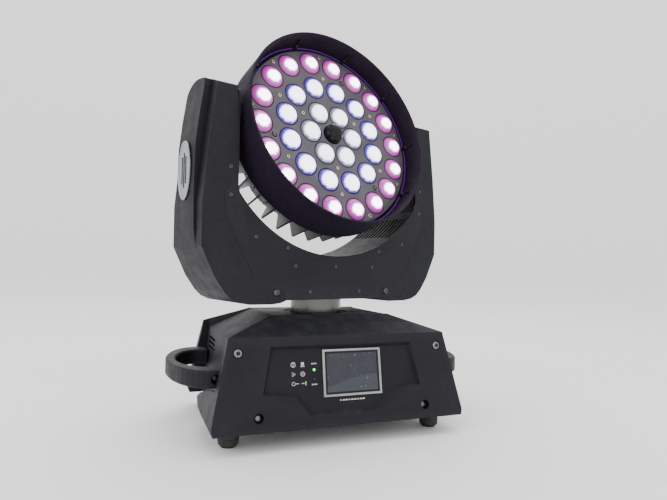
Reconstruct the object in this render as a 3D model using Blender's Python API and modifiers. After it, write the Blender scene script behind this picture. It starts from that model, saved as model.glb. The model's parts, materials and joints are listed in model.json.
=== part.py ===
"""A moving head wash light: a base, a yoke that pans on it, and a head that tilts in the yoke.

The frame is +Z up. The origin is the centre of the base's underside, on the pan axis, and the
base's display side faces -Y. All sizes in this script are in millimetres, and the helpers turn
them into Blender's metres.
"""

import math

import bmesh
import bpy
from mathutils import Vector

MM = 0.001

# Pose at rest
PAN_REST_DEG = 14.7
TILT_REST_DEG = 16.7

# Base
BASE_HALF_WIDTH_LOW = 166.4
BASE_HALF_WIDTH_TOP = 146.0
BASE_HALF_WIDTH_FOOT = 164.4
BASE_HALF_DEPTH_LOW = 129.0
BASE_HALF_DEPTH_TOP = 109.0
SKIRT_Z = 7.0
SHOULDER_Z = 108.3
PLATEAU_HALF_WIDTH = 84.0
PLATEAU_HALF_DEPTH = 64.0
PLATEAU_Z = 130.2
BASE_WALL = 3.0
RIM_Y = 100.0
RIM_TOP_X = 138.0
RIM_LIP = 3.0
MIDDLE_HALF_WIDTH_LOW = 146.0
MIDDLE_HALF_WIDTH_TOP = 138.4
MIDDLE_SHOULDER_Z = 100.0
MIDDLE_TOP_Z = 129.8
CHASSIS_THICKNESS = 2.0
BEAD_DEPTH = 0.6
RECESS_DEPTH = 5.0
RECESS_SLOPE = 4.0
REAR_SHEET = 2.0
HANDLE_LOW_Z = 48.2
HANDLE_TOP_Z = 69.2
FOOT_HEIGHT = 23.5
FOOT_RADIUS = 12.5
FOOT_X = 139.0
FOOT_Y = 88.0

# Pan drive
PAN_TUBE_RADIUS = 36.5
PAN_BEARING_RADIUS = 45.5
PAN_PULLEY_RADIUS = 48.0
MOTOR_PULLEY_RADIUS = 9.0
PAN_BELT_Z = 63.0
BELT_WIDTH = 9.0
PAN_MOTOR_X = 95.0

# Yoke
TILT_Z = 372.3
YOKE_HALF_DEPTH = 48.15
YOKE_FLOOR_Z = 149.2
TROUGH_RADIUS = 184.3
TROUGH_CENTRE_Z = 393.2
VENT_COUNT = 11
VENT_PITCH = 8.0
VENT_DEGREES = 41.5
ARM_WALL = 3.0
UPRIGHT_INNER_X = 149.0
UPRIGHT_OUTER_X = 151.5
TILT_PULLEY_RADIUS = 40.0
TILT_MOTOR_Z = 215.0
TILT_PULLEY_X = 165.5

# Head, measured along the optical axis from the tilt axis
HOOD_RADIUS = 144.0
HOOD_FRONT = 65.0
HOOD_REAR = 6.5
PANEL_FRONT = 35.0
PANEL_THICKNESS = 3.0
PANEL_RADIUS = 133.5
LENS_RADIUS = 16.0
LENS_RINGS = ((36.0, 6, 0.0), (74.4, 12, 15.0), (114.0, 18, 0.0))
ZOOM_SCREW_RADIUS = 3.6
ZOOM_SCREW_CIRCLE = 98.0
ZOOM_SCREW_DEGREES = (69.7, 189.7, 309.7)
POST_RADIUS = 13.7
FIN_COUNT = 32
FIN_THICKNESS = 3.0
SINK_CORE_RADIUS = 70.0
TILT_SHAFT_RADIUS = 15.0

GAP = 0.3


# ---------------------------------------------------------------- scene and helpers


def clear_scene():
    for item in list(bpy.data.objects):
        bpy.data.objects.remove(item, do_unlink=True)


def new_collection(name, helper=False):
    collection = bpy.data.collections.new(name)
    bpy.context.scene.collection.children.link(collection)
    collection.hide_render = helper
    return collection


clear_scene()
PARTS = new_collection("moving_head_light")
HELPERS = new_collection("cutters_and_axes", helper=True)


def material(name, colour, roughness, metallic=0.0):
    """One Principled material for each kind of finish."""
    found = bpy.data.materials.get(name)
    if found:
        return found
    made = bpy.data.materials.new(name)
    made.use_nodes = True
    shader = made.node_tree.nodes["Principled BSDF"]
    shader.inputs["Base Color"].default_value = (*colour, 1.0)
    shader.inputs["Roughness"].default_value = roughness
    shader.inputs["Metallic"].default_value = metallic
    return made


def black_plastic():
    return material("black_plastic", (0.025, 0.025, 0.030), 0.55)


def black_metal():
    return material("black_metal", (0.022, 0.022, 0.026), 0.45)


def bare_steel():
    return material("bare_steel", (0.55, 0.55, 0.56), 0.30, 1.0)


def aluminium():
    return material("aluminium", (0.62, 0.62, 0.64), 0.35, 1.0)


def dark_aluminium():
    return material("dark_aluminium", (0.05, 0.05, 0.055), 0.45, 0.6)


def rubber():
    return material("rubber", (0.02, 0.02, 0.02), 0.8)


def belt_rubber():
    return material("belt_rubber", (0.03, 0.03, 0.03), 0.7)


def board_green():
    return material("board_green", (0.03, 0.16, 0.07), 0.5)


def frame_grey():
    return material("frame_grey", (0.45, 0.46, 0.48), 0.4)


def display_black():
    return material("display_black", (0.02, 0.025, 0.04), 0.1)


def badge_silver():
    return material("badge_silver", (0.45, 0.50, 0.52), 0.3, 0.8)


def lens_clear():
    return material("lens_clear", (0.85, 0.85, 0.95), 0.1)


def place(name, mesh, finish=None, parent=None, at=(0, 0, 0), turn=(0, 0, 0)):
    """Makes the object from its mesh. Without a finish it is a cutter."""
    item = bpy.data.objects.new(name, mesh)
    if finish is None:
        HELPERS.objects.link(item)
        item.hide_render = True
        item.display_type = "WIRE"
    else:
        PARTS.objects.link(item)
        mesh.materials.append(finish)
    item.parent = parent
    item.location = Vector(at) * MM
    item.rotation_euler = [math.radians(degrees) for degrees in turn]
    return item


def mesh_from(name, bm):
    bmesh.ops.recalc_face_normals(bm, faces=bm.faces)
    mesh = bpy.data.meshes.new(name)
    bm.to_mesh(mesh)
    bm.free()
    return mesh


def smooth(item, degrees=35):
    item.data.shade_smooth()
    item.data.set_sharp_from_angle(angle=math.radians(degrees))
    return item


def box(name, low, high, finish=None, parent=None, at=(0, 0, 0), turn=(0, 0, 0)):
    """A box between two corners."""
    bm = bmesh.new()
    bmesh.ops.create_cube(bm, size=1.0)
    for vertex in bm.verts:
        for axis in range(3):
            middle = (low[axis] + high[axis]) / 2
            vertex.co[axis] = (middle + vertex.co[axis] * (high[axis] - low[axis])) * MM
    return place(name, mesh_from(name, bm), finish, parent, at, turn)


def cylinder(name, radius, low, high, finish=None, parent=None, at=(0, 0, 0), turn=(0, 0, 0),
             segments=32, top_radius=None):
    """A cylinder or cone along its own Z, from low to high."""
    bm = bmesh.new()
    bmesh.ops.create_cone(
        bm,
        cap_ends=True,
        segments=segments,
        radius1=radius * MM,
        radius2=(radius if top_radius is None else top_radius) * MM,
        depth=(high - low) * MM,
    )
    bmesh.ops.translate(bm, verts=bm.verts, vec=(0, 0, (low + high) / 2 * MM))
    item = place(name, mesh_from(name, bm), finish, parent, at, turn)
    return smooth(item) if finish else item


def prism(name, outline, low, high, plane="XY", finish=None, parent=None, at=(0, 0, 0),
          turn=(0, 0, 0)):
    """A flat outline in the XY, XZ or YZ plane, extruded along the third axis."""
    order = {"XY": (0, 1, 2), "XZ": (0, 2, 1), "YZ": (1, 2, 0)}[plane]
    bm = bmesh.new()
    corners = []
    for first, second in outline:
        point = [0.0, 0.0, 0.0]
        point[order[0]] = first * MM
        point[order[1]] = second * MM
        point[order[2]] = low * MM
        corners.append(bm.verts.new(point))
    face = bm.faces.new(corners)
    raised = bmesh.ops.extrude_face_region(bm, geom=[face])
    lift = [0.0, 0.0, 0.0]
    lift[order[2]] = (high - low) * MM
    moved = [part for part in raised["geom"] if isinstance(part, bmesh.types.BMVert)]
    bmesh.ops.translate(bm, verts=moved, vec=lift)
    return place(name, mesh_from(name, bm), finish, parent, at, turn)


def tapered(name, low_outline, high_outline, low, high, parent=None):
    """A cutter lofted between two outlines with the same number of points."""
    bm = bmesh.new()
    rings = []
    for outline, level in ((low_outline, low), (high_outline, high)):
        rings.append([bm.verts.new((x * MM, y * MM, level * MM)) for x, y in outline])
        bm.faces.new(rings[-1])
    count = len(low_outline)
    for step in range(count):
        following = (step + 1) % count
        bm.faces.new((rings[0][step], rings[0][following], rings[1][following], rings[1][step]))
    return place(name, mesh_from(name, bm), None, parent)


def hull(name, points, finish=None, parent=None):
    """The convex solid around the points."""
    bm = bmesh.new()
    for point in points:
        bm.verts.new(Vector(point) * MM)
    bmesh.ops.convex_hull(bm, input=bm.verts)
    bmesh.ops.dissolve_limit(bm, angle_limit=math.radians(1), verts=bm.verts, edges=bm.edges)
    return place(name, mesh_from(name, bm), finish, parent)


def turned(name, profile, finish=None, parent=None, at=(0, 0, 0), turn=(0, 0, 0), steps=48,
           closed=True):
    """A profile of (radius, height) points turned about Z, outer side listed downwards."""
    mesh = bpy.data.meshes.new(name)
    points = [(radius * MM, 0.0, height * MM) for radius, height in profile]
    count = len(points)
    edges = [(step, (step + 1) % count) for step in range(count if closed else count - 1)]
    mesh.from_pydata(points, edges, [])
    item = place(name, mesh, finish, parent, at, turn)
    screw = item.modifiers.new("turn", "SCREW")
    screw.axis = "Z"
    screw.steps = steps
    screw.render_steps = steps
    screw.use_merge_vertices = True
    screw.merge_threshold = 0.00001
    screw.use_smooth_shade = False
    return item


def combine(item, other, operation="DIFFERENCE"):
    """Adds a Boolean modifier that cuts, joins or intersects item with other."""
    modifier = item.modifiers.new(other.name, "BOOLEAN")
    modifier.operation = operation
    modifier.solver = "EXACT"
    modifier.object = other
    return item


def bevel(item, width, segments=1, degrees=40):
    modifier = item.modifiers.new("edges", "BEVEL")
    modifier.width = width * MM
    modifier.segments = segments
    modifier.limit_method = "ANGLE"
    modifier.angle_limit = math.radians(degrees)
    return item


def axis_empty(name, parent=None, at=(0, 0, 0), turn=(0, 0, 0)):
    item = bpy.data.objects.new(name, None)
    HELPERS.objects.link(item)
    item.parent = parent
    item.location = Vector(at) * MM
    item.rotation_euler = [math.radians(degrees) for degrees in turn]
    return item


def arc(centre, radii, start, end, count):
    """Points on an ellipse's arc, from start to end in degrees."""
    points = []
    for step in range(count + 1):
        angle = math.radians(start + (end - start) * step / count)
        across = centre[0] + radii[0] * math.cos(angle)
        up = centre[1] + radii[1] * math.sin(angle)
        points.append((across, up))
    return points


def mirrored(points):
    """The outline reflected in its second axis."""
    return [(-first, second) for first, second in reversed(points)]


def belt_outline(near_radius, far_centre, far_radius, offset):
    """The loop round a wheel at the origin and a second one at (0, far_centre)."""
    lean = math.degrees(math.asin((near_radius - far_radius) / far_centre))
    near = near_radius + offset
    far = far_radius + offset
    low = arc((0, 0), (near, near), 180 - lean, 360 + lean, 24)
    high = arc((0, far_centre), (far, far), lean, 180 - lean, 12)
    return low + high


def pulley_profile(radius, bore, low, high):
    """A belt wheel with a thin flange at each end."""
    flange = radius + 2
    return [
        (flange, high), (flange, high - 1), (radius, high - 1), (radius, low + 1),
        (flange, low + 1), (flange, low), (bore, low), (bore, high),
    ]


# ---------------------------------------------------------------- axes

PAN_AXIS = axis_empty("pan_axis", turn=(0, 0, PAN_REST_DEG))
TILT_AXIS = axis_empty("tilt_axis", PAN_AXIS, (0, 0, TILT_Z), (-TILT_REST_DEG, 0, 0))
# In this frame Z is the optical axis, X the tilt axis and Y the head's own up.
OPTICAL_AXIS = axis_empty("optical_axis", TILT_AXIS, turn=(90, 0, 0))

FACE_DEPTH = BASE_HALF_DEPTH_LOW - BASE_HALF_DEPTH_TOP
FACE_LEAN_DEG = math.degrees(math.atan2(SHOULDER_Z, FACE_DEPTH))
# X runs across the sloped face, Y up it and Z out of it.
FRONT_FACE = axis_empty("front_face", None, (0, -BASE_HALF_DEPTH_LOW, 0), (FACE_LEAN_DEG, 0, 0))
REAR_FACE = axis_empty("rear_face", None, (0, BASE_HALF_DEPTH_LOW, 0), (FACE_LEAN_DEG, 0, 180))


# ---------------------------------------------------------------- base


def base_corners(inset, floor_z):
    """Corners of the base's outer shape, drawn in by inset and cut off at floor_z."""
    rows = (
        (BASE_HALF_WIDTH_FOOT, BASE_HALF_DEPTH_LOW, floor_z),
        (BASE_HALF_WIDTH_LOW, BASE_HALF_DEPTH_LOW - SKIRT_Z * FACE_DEPTH / SHOULDER_Z, SKIRT_Z),
        (BASE_HALF_WIDTH_TOP, BASE_HALF_DEPTH_TOP, SHOULDER_Z - inset * 0.6),
        (PLATEAU_HALF_WIDTH, PLATEAU_HALF_DEPTH, PLATEAU_Z - inset),
    )
    corners = []
    for half_width, half_depth, height in rows:
        for side in (-1, 1):
            for end in (-1, 1):
                corners.append((side * (half_width - inset), end * (half_depth - inset), height))
    return corners


def cover_plan(draw_back):
    """The ground plan of the front cover, which reaches back to its rim."""
    rim = RIM_Y + draw_back
    ridge = PLATEAU_HALF_DEPTH - RIM_LIP + draw_back
    far = BASE_HALF_WIDTH_LOW + 10
    front = -BASE_HALF_DEPTH_LOW - 10
    return [
        (-far, front), (far, front), (far, -rim), (RIM_TOP_X, -rim),
        (PLATEAU_HALF_WIDTH, -ridge), (-PLATEAU_HALF_WIDTH, -ridge),
        (-RIM_TOP_X, -rim), (-far, -rim),
    ]


def middle_section(grow, low):
    """The cross-section of the band between the two covers."""
    return [
        (-MIDDLE_HALF_WIDTH_LOW - grow, low), (MIDDLE_HALF_WIDTH_LOW + grow, low),
        (MIDDLE_HALF_WIDTH_TOP + grow, MIDDLE_SHOULDER_Z + grow * 0.6),
        (PLATEAU_HALF_WIDTH - 2 + grow * 0.4, MIDDLE_TOP_Z + grow),
        (-PLATEAU_HALF_WIDTH + 2 - grow * 0.4, MIDDLE_TOP_Z + grow),
        (-MIDDLE_HALF_WIDTH_TOP - grow, MIDDLE_SHOULDER_Z + grow * 0.6),
    ]


RECESS = [(95.5, 98.5), (106.0, 42.0), (66.5, 38.5), (48.0, 14.5)]
REAR_RECESS = [(104.0, 92.0), (110.0, 22.0)]
# Side view (y, z) of the swept flare that runs back from the front cover's lower corners
FLARE = [(-103, -5), (-33, -5), (-31, 0), (12, 15), (-10, 25), (-61, 38), (-103, 46)]
FLARE_INNER_X = 154.0
REAR_FLOOR = GAP - RECESS_DEPTH
TOP_SCREWS = (134.5, 92.3)
LOW_SCREWS = (110.9, 16.8)


def grown(points, amount):
    """Moves an outline's right half outwards, up in its upper part and down in its lower."""
    middle = (points[0][1] + points[-1][1]) / 2
    return [(x + amount, y + (amount if y > middle else -amount)) for x, y in points]


def end_cover(name, plan_sign, face, recess, flared=False):
    """One of the two sloped end covers, with its rim, recess and screw pockets."""
    cover = hull(name, base_corners(0, 0), black_plastic())
    plan = [(x, y * plan_sign) for x, y in cover_plan(0)]
    inner_plan = [(x, y * plan_sign) for x, y in cover_plan(BASE_WALL)]
    region = prism(name + "_region", plan, -5, PLATEAU_Z + 10)
    for side in (-1, 1):
        if flared:
            reach = sorted((side * FLARE_INNER_X, side * (BASE_HALF_WIDTH_LOW + 10)))
            combine(region, prism(f"{name}_flare_{side + 1}", FLARE, *reach, "YZ"), "UNION")
    combine(cover, region, "INTERSECT")

    cavity = hull(name + "_cavity", base_corners(BASE_WALL, -2))
    combine(cavity, prism(name + "_depth", inner_plan, -5, PLATEAU_Z + 10), "INTERSECT")
    thick = grown(recess, BASE_WALL)
    keep = prism(name + "_keep", mirrored(thick) + thick, -RECESS_DEPTH - BASE_WALL, 10,
                 parent=face)
    combine(cavity, keep)
    for side in (-1, 1):
        boss = cylinder(f"{name}_boss_{side + 1}", 9, -12, 5, parent=face,
                        at=(side * LOW_SCREWS[0], LOW_SCREWS[1], 0), segments=20)
        combine(cavity, boss)
    combine(cover, cavity)

    inner = hull(name + "_throat", base_corners(BASE_WALL + 0.2, -3))
    throat_ends = sorted((plan_sign * 20, -plan_sign * (RIM_Y + BASE_WALL + 1)))
    throat = prism(name + "_throat_section", middle_section(GAP, -4), *throat_ends, plane="XZ")
    combine(inner, throat, "INTERSECT")
    combine(cover, inner)

    floor = grown(recess, -RECESS_SLOPE)
    brim = grown(recess, RECESS_SLOPE)
    pocket = tapered(name + "_recess", mirrored(floor) + floor, mirrored(brim) + brim,
                     -RECESS_DEPTH, RECESS_DEPTH, face)
    combine(cover, pocket)
    for side in (-1, 1):
        shallow = cylinder(f"{name}_top_screw_{side + 1}", 6.2, -1.4, 5, parent=face,
                           at=(side * TOP_SCREWS[0], TOP_SCREWS[1], 0), segments=20)
        deep = cylinder(f"{name}_low_screw_{side + 1}", 6.0, -8, 5, parent=face,
                        at=(side * LOW_SCREWS[0], LOW_SCREWS[1], 0), segments=20)
        combine(cover, shallow)
        combine(cover, deep)
    return cover


def rear_sockets():
    """Name, across, up and hole radius of each connector on the rear face."""
    return (
        ("mains_inlet", -78, 57, 12.5),
        ("mains_outlet", -42, 57, 12.5),
        ("fuse_holder", -8, 57, 6.5),
        ("dmx_socket_in", 32, 57, 11.5),
        ("dmx_socket_out", 72, 57, 11.5),
    )


def base_covers():
    """Both end covers. The rear one has a window with a ledge that holds the socket panel."""
    end_cover("base_front_cover", 1, FRONT_FACE, RECESS, flared=True)
    rear = end_cover("base_rear_cover", -1, REAR_FACE, REAR_RECESS)
    seat = grown(REAR_RECESS, -RECESS_SLOPE)
    ledge = grown(REAR_RECESS, -RECESS_SLOPE - 4)
    combine(rear, prism("rear_seat", mirrored(seat) + seat, -RECESS_DEPTH, 10,
                        parent=REAR_FACE))
    combine(rear, prism("rear_window", mirrored(ledge) + ledge, -20, 10, parent=REAR_FACE))

    sheet = grown(REAR_RECESS, -RECESS_SLOPE - GAP)
    panel = prism("rear_panel", mirrored(sheet) + sheet, REAR_FLOOR, REAR_FLOOR + REAR_SHEET,
                  finish=black_metal(), parent=REAR_FACE)
    for name, across, up, radius in rear_sockets():
        hole = cylinder(name + "_hole", radius + 0.5, -20, 5, parent=REAR_FACE,
                        at=(across, up, 0), segments=24)
        combine(panel, hole)


def base_middle_cover():
    band = prism("base_middle_cover", middle_section(0, CHASSIS_THICKNESS + GAP),
                 -RIM_Y + GAP, RIM_Y - GAP, "XZ", black_plastic())
    far = BASE_HALF_WIDTH_LOW
    ridge = PLATEAU_HALF_DEPTH - RIM_LIP - GAP
    rim = RIM_Y - GAP
    half = [(far, -rim), (far, rim), (RIM_TOP_X, rim), (PLATEAU_HALF_WIDTH, ridge)]
    other = [(-x, y) for x, y in reversed(half)]
    front = [(-RIM_TOP_X, -rim), (-PLATEAU_HALF_WIDTH, -ridge)]
    plan = [(PLATEAU_HALF_WIDTH, -ridge), (RIM_TOP_X, -rim)] + half + other[:1] + other[1:]
    plan += front
    combine(band, prism("middle_plan", plan, -5, PLATEAU_Z + 5), "INTERSECT")
    wall = BASE_WALL - 0.5
    hollow = prism("middle_hollow", middle_section(-wall, -5), -RIM_Y - 5, RIM_Y + 5, "XZ")
    combine(band, hollow)
    combine(band, cylinder("middle_tube_hole", PAN_BEARING_RADIUS + 1, 90, 150, segments=48))
    for side in (-1, 1):
        for row in range(3):
            slot = box(f"middle_slot_{side + 1}_{row}", (-20, -27, -1.9), (20, 27, 1.9),
                       at=(side * MIDDLE_HALF_WIDTH_LOW, 54.5, 73.5 + 6.5 * row))
            combine(band, slot)
    return band


def base_chassis():
    half_width = BASE_HALF_WIDTH_FOOT - BASE_WALL - 1
    half_depth = BASE_HALF_DEPTH_LOW - BASE_WALL - 1
    waist = RIM_Y + BASE_WALL + 0.5
    middle = MIDDLE_HALF_WIDTH_LOW - 1
    right = [
        (half_width, -half_depth), (half_width, -waist), (middle, -waist),
        (middle, waist), (half_width, waist), (half_width, half_depth),
    ]
    chassis = prism("base_chassis", right + mirrored(right), 0, CHASSIS_THICKNESS, "XY",
                    black_metal())
    # A pressed bead frames the flat middle that the hanging brackets are screwed to.
    bead = box("chassis_bead", (-64, -49, -1), (64, 54, BEAD_DEPTH))
    combine(bead, box("chassis_middle", (-60, -45, -2), (60, 50, 2)))
    combine(chassis, bead)


def handle(name, side):
    """A half-ring carry handle with a screw pocket near each end."""
    root_x = MIDDLE_HALF_WIDTH_LOW - 3.2
    outer = [(root_x, -98)] + arc((160, 0), (47.5, 98), -90, 90, 24) + [(root_x, 98)]
    inner = [(root_x, 67)] + arc((160, 0), (35, 67), 90, -90, 20) + [(root_x, -67)]
    outline = outer + inner
    if side < 0:
        outline = mirrored(outline)
    strap = prism(name, outline, HANDLE_LOW_Z, HANDLE_TOP_Z, "XY", black_plastic())
    bevel(strap, 2.0, 1, 50)
    for end in (-1, 1):
        pocket = cylinder(f"{name}_pocket_{end + 1}", 6, 0, 30, at=(side * 157, end * 88, 58.7),
                          turn=(-90 * end, 0, 0), segments=18)
        combine(strap, pocket)
    return strap


def feet():
    for end, end_name in ((-1, "front"), (1, "rear")):
        for side, side_name in ((-1, "left"), (1, "right")):
            profile = [
                (0, -GAP), (FOOT_RADIUS, -GAP), (FOOT_RADIUS, -FOOT_HEIGHT + 4),
                (FOOT_RADIUS - 3.5, -FOOT_HEIGHT), (0, -FOOT_HEIGHT),
            ]
            foot = turned(f"foot_{end_name}_{side_name}", profile, rubber(), steps=24,
                          at=(side * FOOT_X, end * FOOT_Y, 0), closed=False)
            smooth(foot)


DISPLAY_CENTRE = (11.2, 64.1)
DISPLAY_HALF = (39.5, 28.7)
DISPLAY_BORDER = 2.6


def display():
    floor = -RECESS_DEPTH + GAP
    across, up = DISPLAY_HALF
    border = DISPLAY_BORDER
    at = (*DISPLAY_CENTRE, 0)
    frame = box("display_frame", (-across, -up, floor), (across, up, floor + 1.8),
                frame_grey(), FRONT_FACE, at)
    opening = box("display_opening", (-across + border, -up + border, floor - 1),
                  (across - border, up - border, floor + 3), parent=FRONT_FACE, at=at)
    combine(frame, opening)
    inner = (across - border - GAP, up - border - GAP)
    box("display_glass", (-inner[0], -inner[1], floor), (inner[0], inner[1], floor + 1.2),
        display_black(), FRONT_FACE, at)


def connectors():
    """Flanged sockets that sit on the rear panel."""
    floor = REAR_FLOOR + REAR_SHEET + GAP
    for name, across, up, radius in rear_sockets():
        at = (across, up, 0)
        if name == "fuse_holder":
            body = cylinder(name, radius + 2, floor, floor + 6, black_plastic(), REAR_FACE, at,
                            segments=20)
        else:
            body = box(name, (-13.5, -15.5, floor), (13.5, 15.5, floor + 2.4), black_metal(),
                       REAR_FACE, at)
        barrel = cylinder(name + "_barrel", radius, floor - 22, floor + 1, parent=REAR_FACE,
                          at=at, segments=24)
        combine(body, barrel, "UNION")
        if name != "fuse_holder":
            bore = cylinder(name + "_bore", radius - 2, floor - 16, floor + 5,
                            parent=REAR_FACE, at=at, segments=24)
            combine(body, bore)
    latch_at = (72, 57 + 12.4, 0)
    box("dmx_latch", (-3, -1.6, floor + 2.4 + GAP), (3, 1.6, floor + 5.4), bare_steel(),
        REAR_FACE, latch_at)


def base_inside():
    top = CHASSIS_THICKNESS + GAP
    supply = box("power_supply", (-132, -86, top), (-72, 84, 50), aluminium())
    bevel(supply, 1.0)
    box("control_board", (-58, 18, -26), (58, 88, -24.4), board_green(), FRONT_FACE)
    portal = [
        (-66, top), (-64, top), (-64, 88), (64, 88), (64, top), (66, top), (66, 91), (-66, 91),
    ]
    bridge = prism("pan_bridge", portal, -52, 52, "YZ", black_metal())
    combine(bridge, cylinder("bridge_hole", PAN_TUBE_RADIUS + 1.5, 80, 100))
    bearing = [
        (PAN_BEARING_RADIUS, 128.5), (PAN_BEARING_RADIUS, 98.0), (58.0, 98.0),
        (58.0, 91.0 + GAP), (PAN_TUBE_RADIUS + 0.6, 91.0 + GAP), (PAN_TUBE_RADIUS + 0.6, 128.5),
    ]
    smooth(turned("pan_bearing", bearing, black_metal(), steps=48))


def pan_drive():
    top = CHASSIS_THICKNESS + GAP
    low = PAN_BELT_Z - 1.5
    high = PAN_BELT_Z + BELT_WIDTH + 1.5
    at = (PAN_MOTOR_X, 0, 0)
    motor = box("pan_motor", (-28.5, -28.5, top), (28.5, 28.5, 54), black_metal(), at=at)
    bevel(motor, 4.0, 1, 60)
    shaft = cylinder("pan_motor_shaft", 3.0, 50, high + 2, at=at, segments=12)
    combine(motor, shaft, "UNION")
    wheel = pulley_profile(MOTOR_PULLEY_RADIUS, 3.0 + GAP, low, high)
    smooth(turned("pan_motor_pulley", wheel, aluminium(), at=at, steps=20))
    belt("pan_belt", PAN_PULLEY_RADIUS, PAN_MOTOR_X, None, (0, 0, PAN_BELT_Z), (0, 0, -90))


def belt(name, wheel_radius, far_centre, parent, at, turn):
    """A toothed belt as a plain loop, clear of both wheels."""
    outer = belt_outline(wheel_radius, far_centre, MOTOR_PULLEY_RADIUS, 2.2)
    inner = belt_outline(wheel_radius, far_centre, MOTOR_PULLEY_RADIUS, 0.5)
    loop = prism(name, outer, 0, BELT_WIDTH, "XY", belt_rubber(), parent, at, turn)
    inside = prism(name + "_inside", inner, -5, BELT_WIDTH + 5, "XY", None, parent, at, turn)
    combine(loop, inside)
    return loop


# ---------------------------------------------------------------- yoke

ARM_OUTER = [
    (181.2, 436.0), (181.2, 415.7), (190.6, 338.8), (197.0, 268.9), (196.5, 216.2),
    (179.2, 179.9), (166.0, 161.0), (156.8, 152.2), (146.0, 147.4), (131.0, 145.0),
    (99.6, 144.7), (88.0, 146.0), (79.7, 148.7),
]
PLATE_SIDE = [
    (79.4, 149.5), (82.0, 161.0), (86.0, 168.0), (97.0, 174.7), (116.0, 178.5),
    (129.0, 184.0), (154.0, 230.0), (167.0, 259.0), (168.3, 272.0), (168.3, 280.0),
    (163.0, 290.0), (152.0, 294.7),
]
PAD_OUTER = [
    (170.0, 436.0), (190.2, 436.0), (190.2, 415.7), (195.8, 377.0), (199.7, 342.0),
    (200.6, 289.0), (199.6, 240.0), (196.0, 214.0), (170.0, 214.0),
]
PAD_HALF_DEPTH = 28.8


def arm_side_view(inset):
    """The arm's outline seen from the side, with its arched top and rounded rear corner."""
    half = YOKE_HALF_DEPTH - inset
    crown = 426.8 - inset
    drop = 11.1
    front = []
    for step in range(9):
        y = -half + (half - 3) * step / 8
        front.append((y, crown - drop * (y + 3) ** 2 / (half - 3) ** 2))
    rear = arc((-3, crown - 56), (half + 3, 56), 90, 10, 12)[1:]
    return [(-half, 60)] + front + rear + [(half, 60)]


def arm_cover(name, side):
    """One moulded arm shell with its raised outer pad, open towards the head."""
    plate_edge = [(x + GAP, z) for x, z in PLATE_SIDE]
    inner_edge = [(151.9, 316.0), (154.3, 415.7), (154.3, 436.0)]
    outline = ARM_OUTER + plate_edge + inner_edge
    pad = PAD_OUTER
    cavity = [(x - ARM_WALL, z) for x, z in ARM_OUTER[:5]]
    cavity += [(x - 2.3, z + 2.3) for x, z in ARM_OUTER[5:9]]
    cavity += [(x, z + ARM_WALL) for x, z in ARM_OUTER[9:12]] + [(40, 151.7), (40, 436)]
    if side < 0:
        outline = mirrored(outline)
        pad = mirrored(pad)
        cavity = mirrored(cavity)
    cover = prism(name, outline, -YOKE_HALF_DEPTH, YOKE_HALF_DEPTH, "XZ", black_plastic(),
                  PAN_AXIS)
    raised = prism(name + "_pad", pad, -PAD_HALF_DEPTH, PAD_HALF_DEPTH, "XZ", None, PAN_AXIS)
    combine(cover, raised, "UNION")
    side_view = prism(name + "_side_view", arm_side_view(0), -230, 230, "YZ", None, PAN_AXIS)
    combine(cover, side_view, "INTERSECT")
    hollow = prism(name + "_hollow", cavity, -YOKE_HALF_DEPTH + ARM_WALL,
                   YOKE_HALF_DEPTH - ARM_WALL, "XZ", None, PAN_AXIS)
    inner_view = prism(name + "_inner_view", arm_side_view(ARM_WALL), -240, 240, "YZ", None,
                       PAN_AXIS)
    combine(hollow, inner_view, "INTERSECT")
    combine(cover, hollow)
    return cover


def arm_badge(name, side):
    outline = arc((0, 0), (19.0, 37.3), 0, 360, 36)[:-1]
    badge = prism(name, outline, 0, 1.2, "XY", badge_silver(), PAN_AXIS,
                  (side * (201.0 + GAP), 0, 311), (90, 0, 90 * side))
    return badge


def yoke_plate(name, sign):
    """A thin face plate with ears, cut away along the round opening."""
    reach = math.degrees(math.asin(148.5 / TROUGH_RADIUS))
    opening = arc((0, TROUGH_CENTRE_Z), (TROUGH_RADIUS, TROUGH_RADIUS), -90 + reach,
                  -90 - reach, 36)
    right = [(x, z) for x, z in PLATE_SIDE]
    outline = right + [(149.8, 292.0)] + opening + [(-149.8, 292.0)] + mirrored(right)
    near = YOKE_HALF_DEPTH - 2.0
    low, high = sorted((sign * near, sign * YOKE_HALF_DEPTH))
    return prism(name, outline, low, high, "XZ", black_metal(), PAN_AXIS)


def yoke_trough():
    """The curved skin between the face plates, with a row of long vents on both sides."""
    reach = math.degrees(math.asin(147.0 / TROUGH_RADIUS))
    thickness = 1.6
    upper = arc((0, TROUGH_CENTRE_Z), (TROUGH_RADIUS,) * 2, -90 - reach, -90 + reach, 40)
    lower_radius = TROUGH_RADIUS + thickness
    lower = arc((0, TROUGH_CENTRE_Z), (lower_radius,) * 2, -90 + reach, -90 - reach, 40)
    half = YOKE_HALF_DEPTH - 2.0 - GAP
    skin = prism("yoke_trough", upper + lower, -half, half, "XZ", black_metal(), PAN_AXIS)
    for side in (-1, 1):
        centre = axis_empty(f"vent_axis_{side + 1}", PAN_AXIS, (0, 0, TROUGH_CENTRE_Z),
                            (0, -side * VENT_DEGREES, 0))
        for row in range(VENT_COUNT):
            y = (row - (VENT_COUNT - 1) / 2) * VENT_PITCH
            slot = box(f"vent_{side + 1}_{row}", (-23, y - 2.2, -TROUGH_RADIUS - 8),
                       (23, y + 2.2, -TROUGH_RADIUS + 8), parent=centre)
            combine(skin, slot)
    return skin


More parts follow.
